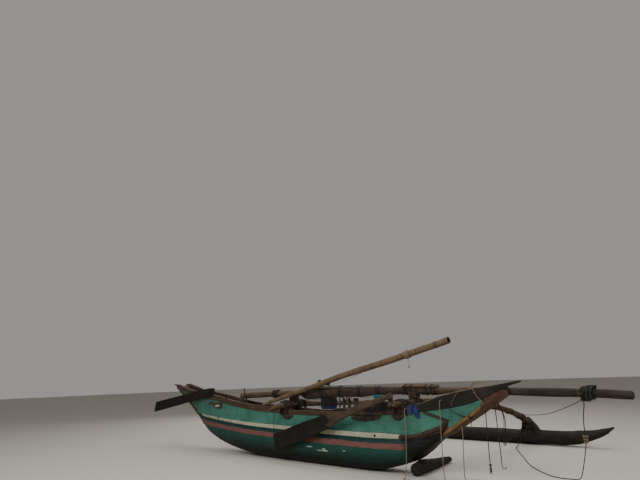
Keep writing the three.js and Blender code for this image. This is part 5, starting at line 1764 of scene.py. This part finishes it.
        def shell(height, angle, proud=0.0):
            """A point of the bag's lumpy side, at a height and an angle round it."""
            low, high = cut_box("net_bag", 2, min(max(height, low_z + 0.002), high_z - 0.002))
            a, b = (high[0] - low[0]) / 2, (high[1] - low[1]) / 2
            x_mid, y_mid = (high[0] + low[0]) / 2, (high[1] + low[1]) / 2
            fold = 0.05 * math.sin(angle * 7 + height * 9) + 0.09 * noise.noise(
                Vector((math.cos(angle) * 2, math.sin(angle) * 2, height * 11)))
            size = 0.9 + fold
            return np.array((x_mid + (a * size + proud) * math.cos(angle),
                             y_mid + (b * size + proud) * math.sin(angle), height))

        verts, grain = [], []
        for height in np.linspace(low_z + 0.004, high_z - 0.004, BAG_LEVELS):
            for k in range(BAG_SIDES):
                angle = 2 * math.pi * k / BAG_SIDES
                verts.append(shell(height, angle))
                grain.append((height, angle * 0.14, 0.0))
        bag = new_mesh_object("net_bag_body", verts, capped_faces(BAG_LEVELS, BAG_SIDES))
        set_grain(bag.data, grain)
        smooth(bag.data, 60)
        dress(bag, "Net cloth", "rope")
        bag.data.materials.append(FINISHES["Blue cloth"])
        for face in bag.data.polygons:
            if face.center.z < low_z + BAG_BLUE:
                face.material_index = 1
        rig.replaces(bag, "net_bag")
        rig.padded(bag, fill=0.7)
        made = Bundle()
        for way in (1, -1):
            for start in np.linspace(0, 2 * math.pi, 16, endpoint=False):
                path = [shell(h, start + way * (h - low_z) * 5.5, 0.003)
                        for h in np.linspace(low_z + 0.006, high_z - 0.006, 22)]
                made.tube(path, 0.0022, 4)
        draw = random.Random(8)
        for _ in range(9):
            angle = draw.uniform(0, 2 * math.pi)
            top = shell(low_z + 0.03, angle, 0.002)
            drop = draw.uniform(0.03, 0.07)
            made.tube([top, top - (0, 0, drop * 0.6), top - (0, 0, drop)], [0.003, 0.0026, 0.002], 5)
        made.piece("net_bag_mesh", "Netting twine", "rope")


BAND_PLACES = (0.62, 0.75)      # distance along the hull of the leeboard's two rope bands
BARE_FROM = 1.42                # the leeboard's arm is bare wood forward of this distance


class CANOE_OT_boards(bpy.types.Operator):
    """Dresses the leeboard and the steering board with their post, pins and rope bands"""

    bl_idname = "canoe.boards"
    bl_label = "Boards"

    def execute(self, context):
        for body in ("leeboard", "steering_board"):
            board = worn_copy(body, "Tarred boards", "board_wood", body=body, soft=False, levels=3,
                              uneven=0.004, stretch=8.0, bevel=0.005)
            if body == "leeboard":
                second_finish(board, "Weathered boards", lambda centre, way: (
                    centre[:, 0] + 0.05 * np.sin(centre[:, 2] * 45) > BARE_FROM))
        worn_copy("leeboard_post", "Weathered boards", "old_wood", soft=False, levels=2)
        worn_copy("steering_pin", "Weathered boards", "old_wood", soft=False, levels=1, uneven=0.001)
        self.bands(context.scene.canoe_sizes)
        return {"FINISHED"}

    def bands(self, sizes):
        """Two rope bands round the leeboard's blade."""
        made = Bundle()
        for x in BAND_PLACES:
            low, high = cut_box("leeboard", 0, x)
            out = sizes.twine * 0.6
            corners = [(x, low[1] - out, low[2] - out), (x, high[1] + out, low[2] - out),
                       (x, high[1] + out, high[2] + out), (x, low[1] - out, high[2] + out)]
            made.tube(corners, sizes.twine / 2, 6, closed=True)
        made.piece("leeboard_bands", "Tarred rope", "rope", body="leeboard")


# Rigging and small things on the rails


# Where each line runs: finish, share of the lashing rope's thickness, and points. The far ends of
# spar_tie_tail, spike_sling and knotted_line hang free. Every other end lies on a piece.
LINES = {
    "stern_line": ("Dry rope", 0.45, [
        (-4.36, 0.200, 1.452), (-3.60, 0.130, 1.366), (-2.60, 0.040, 1.268), (-1.64, -0.055, 1.262)]),
    "spar_tie_tail": ("Tarred rope", 0.7, [
        (-0.52, -0.110, 1.20), (-0.50, -0.128, 1.17), (-0.485, -0.130, 1.13), (-0.47, -0.128, 1.10)]),
    "spike_sling": ("Tarred rope", 0.9, [
        (-0.040, -0.440, 1.045), (-0.044, -0.486, 1.02), (-0.048, -0.494, 0.94), (-0.052, -0.492, 0.80),
        (-0.060, -0.490, 0.66), (-0.066, -0.490, 0.56), (-0.058, -0.490, 0.50), (-0.040, -0.490, 0.52),
        (-0.044, -0.490, 0.60)]),
    "rail_twine_aft": ("Netting twine", 0.5, [
        (0.66, -0.232, 0.905), (0.66, -0.250, 0.86), (0.66, -0.330, 0.74), (0.66, -0.425, 0.62)]),
    "rail_twine_fore": ("Netting twine", 0.5, [
        (0.75, -0.232, 0.905), (0.75, -0.250, 0.86), (0.75, -0.330, 0.74), (0.75, -0.425, 0.62)]),
    "horn_loop_thin": ("Dry rope", 0.5, [
        (3.93, -0.198, 1.270), (3.90, -0.220, 1.235), (3.85, -0.230, 1.170), (3.80, -0.226, 1.105),
        (3.79, -0.205, 1.060)]),
    "knotted_line": ("Tarred rope", 0.8, [
        (3.72, -0.212, 1.050), (3.78, -0.214, 0.995), (3.87, -0.190, 0.945), (3.95, -0.170, 0.915),
        (4.03, -0.150, 0.915), (4.055, -0.150, 0.880), (4.058, -0.150, 0.820), (4.056, -0.150, 0.770)]),
    "bundle_line": ("Tarred rope", 0.8, [
        (5.455, 0.345, 1.150), (5.431, 0.370, 1.125), (5.03, 0.784, 0.990), (4.563, 1.265, 0.865),
        (3.903, 1.945, 0.780), (3.139, 2.733, 0.725), (2.900, 2.985, 0.768)]),
    "head_line": ("Tarred rope", 0.9, [
        (4.400, 0.050, 1.100), (4.415, 0.075, 1.040), (4.440, 0.090, 0.900), (4.300, 0.300, 0.640),
        (3.900, 1.000, 0.420), (3.300, 2.200, 0.300), (2.850, 3.300, 0.240), (2.700, 3.960, 0.240)]),
    "head_line_second": ("Tarred rope", 0.9, [
        (4.395, 0.065, 1.100), (4.412, 0.090, 1.030), (4.450, 0.108, 0.880), (4.315, 0.315, 0.610),
        (3.910, 1.015, 0.385), (3.310, 2.215, 0.265), (2.860, 3.310, 0.215), (2.690, 3.965, 0.215)]),
}


LAY = 0.045                      # length of one turn of the strands in a laid line
HITCH_AT = -1.64                 # where the stern line is hitched to the spar
SPAR_TIE_SPAN = (-0.64, -0.50)
RAG_ROWS, RAG_COLUMNS = 14, 7
PEG_AT, KNOB_AT, BOLT_AT = -2.334, -2.142, 2.313
SPLINTERS_SPAN = (2.80, 2.86)
# Rags: finish, what each hangs from, its distance along the hull and width, heights of its top and foot
RAGS = [
    ("Blue cloth", "gunwale_rail_starboard", 2.185, 0.07, 0.955, 0.865),
    ("Blue cloth", "gunwale_rail_starboard", 2.51, 0.05, 0.985, 0.925),
    ("Blue cloth", "bow_horn_plank_starboard", 3.03, 0.08, 1.075, 0.93),
    ("Blue cloth", "bow_horn_plank_starboard", 3.14, 0.085, 1.085, 0.885),
    ("Net cloth", "sail_roll", 1.20, 0.06, 1.17, 1.02),
    ("Net cloth", "sail_roll", 1.285, 0.035, 1.17, 0.99),
    ("Net cloth", "sail_roll", 1.36, 0.05, 1.17, 1.04),
    ("Net cloth", "sail_roll", 1.44, 0.03, 1.17, 1.06),
]


class CANOE_OT_rigging(bpy.types.Operator):
    """Ties the small lines, loops, knots, rags and pegs on the canoe"""

    bl_idname = "canoe.rigging"
    bl_label = "Rigging"

    def execute(self, context):
        sizes = context.scene.canoe_sizes
        for name, (finish, share, points) in LINES.items():
            made = Bundle()
            made.tube(curve_through(points, 0.02), sizes.rope * share / 2, 8, strands=3, lay=LAY)
            made.piece(name, finish, "rope")
        self.ties(sizes)
        self.horn(sizes)
        self.knots()
        self.rags()
        self.pegs()
        return {"FINISHED"}

    def ties(self, sizes):
        """Turns round the spar: the stern line's hitch and the dark tie aft of the sail."""
        made = Bundle()
        for x in [HITCH_AT + 0.45 * sizes.rope * i for i in range(4)]:
            made.tube(snug_loop(["long_spar"], 0, x, 0.0045), sizes.rope * 0.24, 6, closed=True)
        made.piece("stern_hitch", "Dry rope", "rope")
        made = Bundle()
        draw = random.Random(17)
        for x in np.arange(*SPAR_TIE_SPAN, sizes.rope * 0.95):
            for layer in (0, 1):
                gap = sizes.rope * (0.55 + 0.8 * layer) + draw.uniform(0, 0.002)
                made.tube(snug_loop(["long_spar"], 0, x + layer * 0.006, gap), sizes.rope / 2, 7,
                          closed=True)
        made.piece("spar_tie", "Tarred rope", "rope")

    def horn(self, sizes):
        """The pale rope along the starboard horn plank's top, and the loops that stand on it."""
        node = "bow_horn_plank_starboard"
        rise = sizes.rope * 0.5

        made = Bundle()

        def on_top(x, up=0.0):
            """A point over the horn plank's upper edge."""
            low, high = cut_box(node, 0, x)
            return (x, low[1] + 0.014, high[2] + rise + up)

        def laid(points, share):
            """A laid line through points, as thick as a share of the lashing rope's radius."""
            made.tube(curve_through(points), sizes.rope * share, 8, strands=3, lay=LAY)

        laid([on_top(x, 0.0035 * math.sin(x * 23)) for x in np.linspace(3.12, 4.38, 22)], 0.42)
        laid([on_top(4.12), on_top(4.125, 0.035), on_top(4.18, 0.085), on_top(4.26, 0.090),
              on_top(4.35, 0.055), on_top(4.42, 0.018), on_top(4.44, 0.002)], 0.45)
        laid([on_top(4.10, 0.004), on_top(4.14, 0.045), on_top(4.22, 0.072), on_top(4.31, 0.050),
              on_top(4.37, 0.012)], 0.4)
        laid([on_top(4.15, 0.004), starboard_face(node, 4.17, 1.285, 0.012),
              starboard_face(node, 4.21, 1.210, 0.010),
              starboard_face("bow_end_board", 4.28, 1.130, 0.010),
              starboard_face("bow_end_board", 4.31, 1.085, 0.009)], 0.42)
        made.piece("horn_rope", "Dry rope", "rope")

    def knots(self):
        """Knots where lines meet the bow board, the spar rope and the float's lashing."""
        made = Bundle()
        for place, size in (((4.045, -0.150, 0.918), 0.010), ((4.052, -0.148, 0.895), 0.008)):
            made.tube(knot_path(place, size), 0.0075, 6, closed=True)
        made.piece("dark_knots", "Teal rope", "rope")
        made = Bundle()
        for place, size in (((5.352, 0.560, 0.640), 0.011), ((5.348, 0.570, 0.600), 0.010),
                            ((5.341, 0.583, 0.560), 0.009)):
            made.tube(knot_path(place, size), 0.007, 6, closed=True)
        made.piece("spar_rope_knots", "Dry rope", "rope")

    def rags(self):
        """Blue rags on the starboard rail and strips of net on the sail, each a short hung strip."""
        for i, (finish, node, x, wide, top, foot) in enumerate(RAGS):
            verts, cloth = [], []
            face = cut_box(node, 0, x)[0][1]
            for r in range(RAG_ROWS):
                share = r / (RAG_ROWS - 1)
                z = top + (foot - top) * share
                pinch_in = 0.55 + 0.45 * min(share * 3, 1)
                sway = 0.012 * math.sin(share * 5 + i)
                for c in range(RAG_COLUMNS):
                    across = (c / (RAG_COLUMNS - 1) - 0.5) * wide * pinch_in
                    wave = 0.010 * math.sin(c * 2.1 + share * 4 + i) + 0.008 * noise.noise(
                        Vector((across * 20, share * 3, i)))
                    verts.append((x + across + sway, face - 0.004 + (wave - 0.014) * share, z))
                    cloth.append((across, z, 0.0))
            rag = new_mesh_object(f"rag_{i + 1}", verts, grid_faces(RAG_ROWS, RAG_COLUMNS))
            set_grain(rag.data, cloth)
            smooth(rag.data, 80)
            dress(rag, finish, "rope")
            steps = np.diff(np.array(verts).reshape(RAG_ROWS, RAG_COLUMNS, 3), axis=0)
            drop = float(np.linalg.norm(steps, axis=2).sum(axis=0).mean())
            area = sum(polygon.area for polygon in rag.data.polygons)
            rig.sheet(rag, flat=(round(area / drop, 3), round(drop, 3)), held="hung", rests_on=[node])

    def pegs(self):
        """Pegs, a rail knob, a bolt's dark head and the splintered end block on the rubbing batten."""
        made = Bundle()
        low, high = cut_box("rub_batten_starboard", 0, PEG_AT)
        z = high[2] - 0.012
        made.tube([(PEG_AT, low[1] + 0.01, z), (PEG_AT, low[1] - 0.03, z + 0.01)], [0.011, 0.009], 8)
        low, high = cut_box("gunwale_rail_starboard", 0, KNOB_AT)
        y = (low[1] + high[1]) / 2
        made.tube([(KNOB_AT, y, high[2] + rise) for rise in (-0.01, 0.02, 0.032)],
                  [0.026, 0.028, 0.014], 10)
        low, high = cut_box("rub_batten_starboard", 0, BOLT_AT)
        z = (low[2] + high[2]) / 2
        made.tube([(BOLT_AT, low[1] + 0.008, z), (BOLT_AT, low[1] - 0.004, z)], 0.019, 12)
        made.piece("rail_pegs", "Tarred boards", "old_wood")
        made = Bundle()
        draw = random.Random(29)
        for _ in range(12):
            x = draw.uniform(*SPLINTERS_SPAN)
            low, high = cut_box("rub_batten_starboard", 0, x)
            z = draw.uniform(low[2] + 0.006, high[2] - 0.004)
            run = draw.uniform(0.05, 0.13)
            made.tube([(x - 0.03, low[1] - 0.001, z),
                       (x + run * 0.5, low[1] - 0.004, z + draw.uniform(-0.004, 0.004)),
                       (x + run, low[1] - 0.0015, z + draw.uniform(-0.006, 0.008))],
                      [0.005, 0.0055, 0.002], 5)
        made.piece("batten_splinters", "Bark brown pads", "old_wood")


class CANOE_PT_panel(bpy.types.Panel):
    """Lists the canoe's operators"""

    bl_label = "Outrigger canoe"
    bl_idname = "CANOE_PT_panel"
    bl_space_type = "VIEW_3D"
    bl_region_type = "UI"
    bl_category = "Canoe"

    def draw(self, context):
        for operator in OPERATORS:
            self.layout.operator(operator.bl_idname)


SETTINGS = {
    "canoe_stage": CanoeStageSettings, "canoe_colours": CanoeColours, "canoe_sizes": CanoeSizes}
OPERATORS = [
    CANOE_OT_stage, CANOE_OT_free_ropes, CANOE_OT_hull, CANOE_OT_booms, CANOE_OT_spar_and_sail,
    CANOE_OT_gear, CANOE_OT_boards, CANOE_OT_rigging]


def register():
    for cls in (*SETTINGS.values(), *OPERATORS, CANOE_PT_panel):
        bpy.utils.register_class(cls)
    for name, group in SETTINGS.items():
        setattr(bpy.types.Scene, name, PointerProperty(type=group))


def unregister():
    for name in SETTINGS:
        delattr(bpy.types.Scene, name)
    for cls in (CANOE_PT_panel, *reversed(OPERATORS), *SETTINGS.values()):
        bpy.utils.unregister_class(cls)


def main():
    register()
    make_finishes(bpy.context.scene.canoe_colours)
    bpy.ops.canoe.stage()
    bpy.ops.canoe.free_ropes()
    bpy.ops.canoe.hull()
    bpy.ops.canoe.booms()
    bpy.ops.canoe.spar_and_sail()
    bpy.ops.canoe.gear()
    bpy.ops.canoe.boards()
    bpy.ops.canoe.rigging()
    low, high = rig.bounds()
    with open("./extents.json", "w") as file:
        json.dump({"cad": [list(CAD_LOW), list(CAD_HIGH)], "visual": [list(low), list(high)]}, file)


if __name__ == "__main__":
    main()
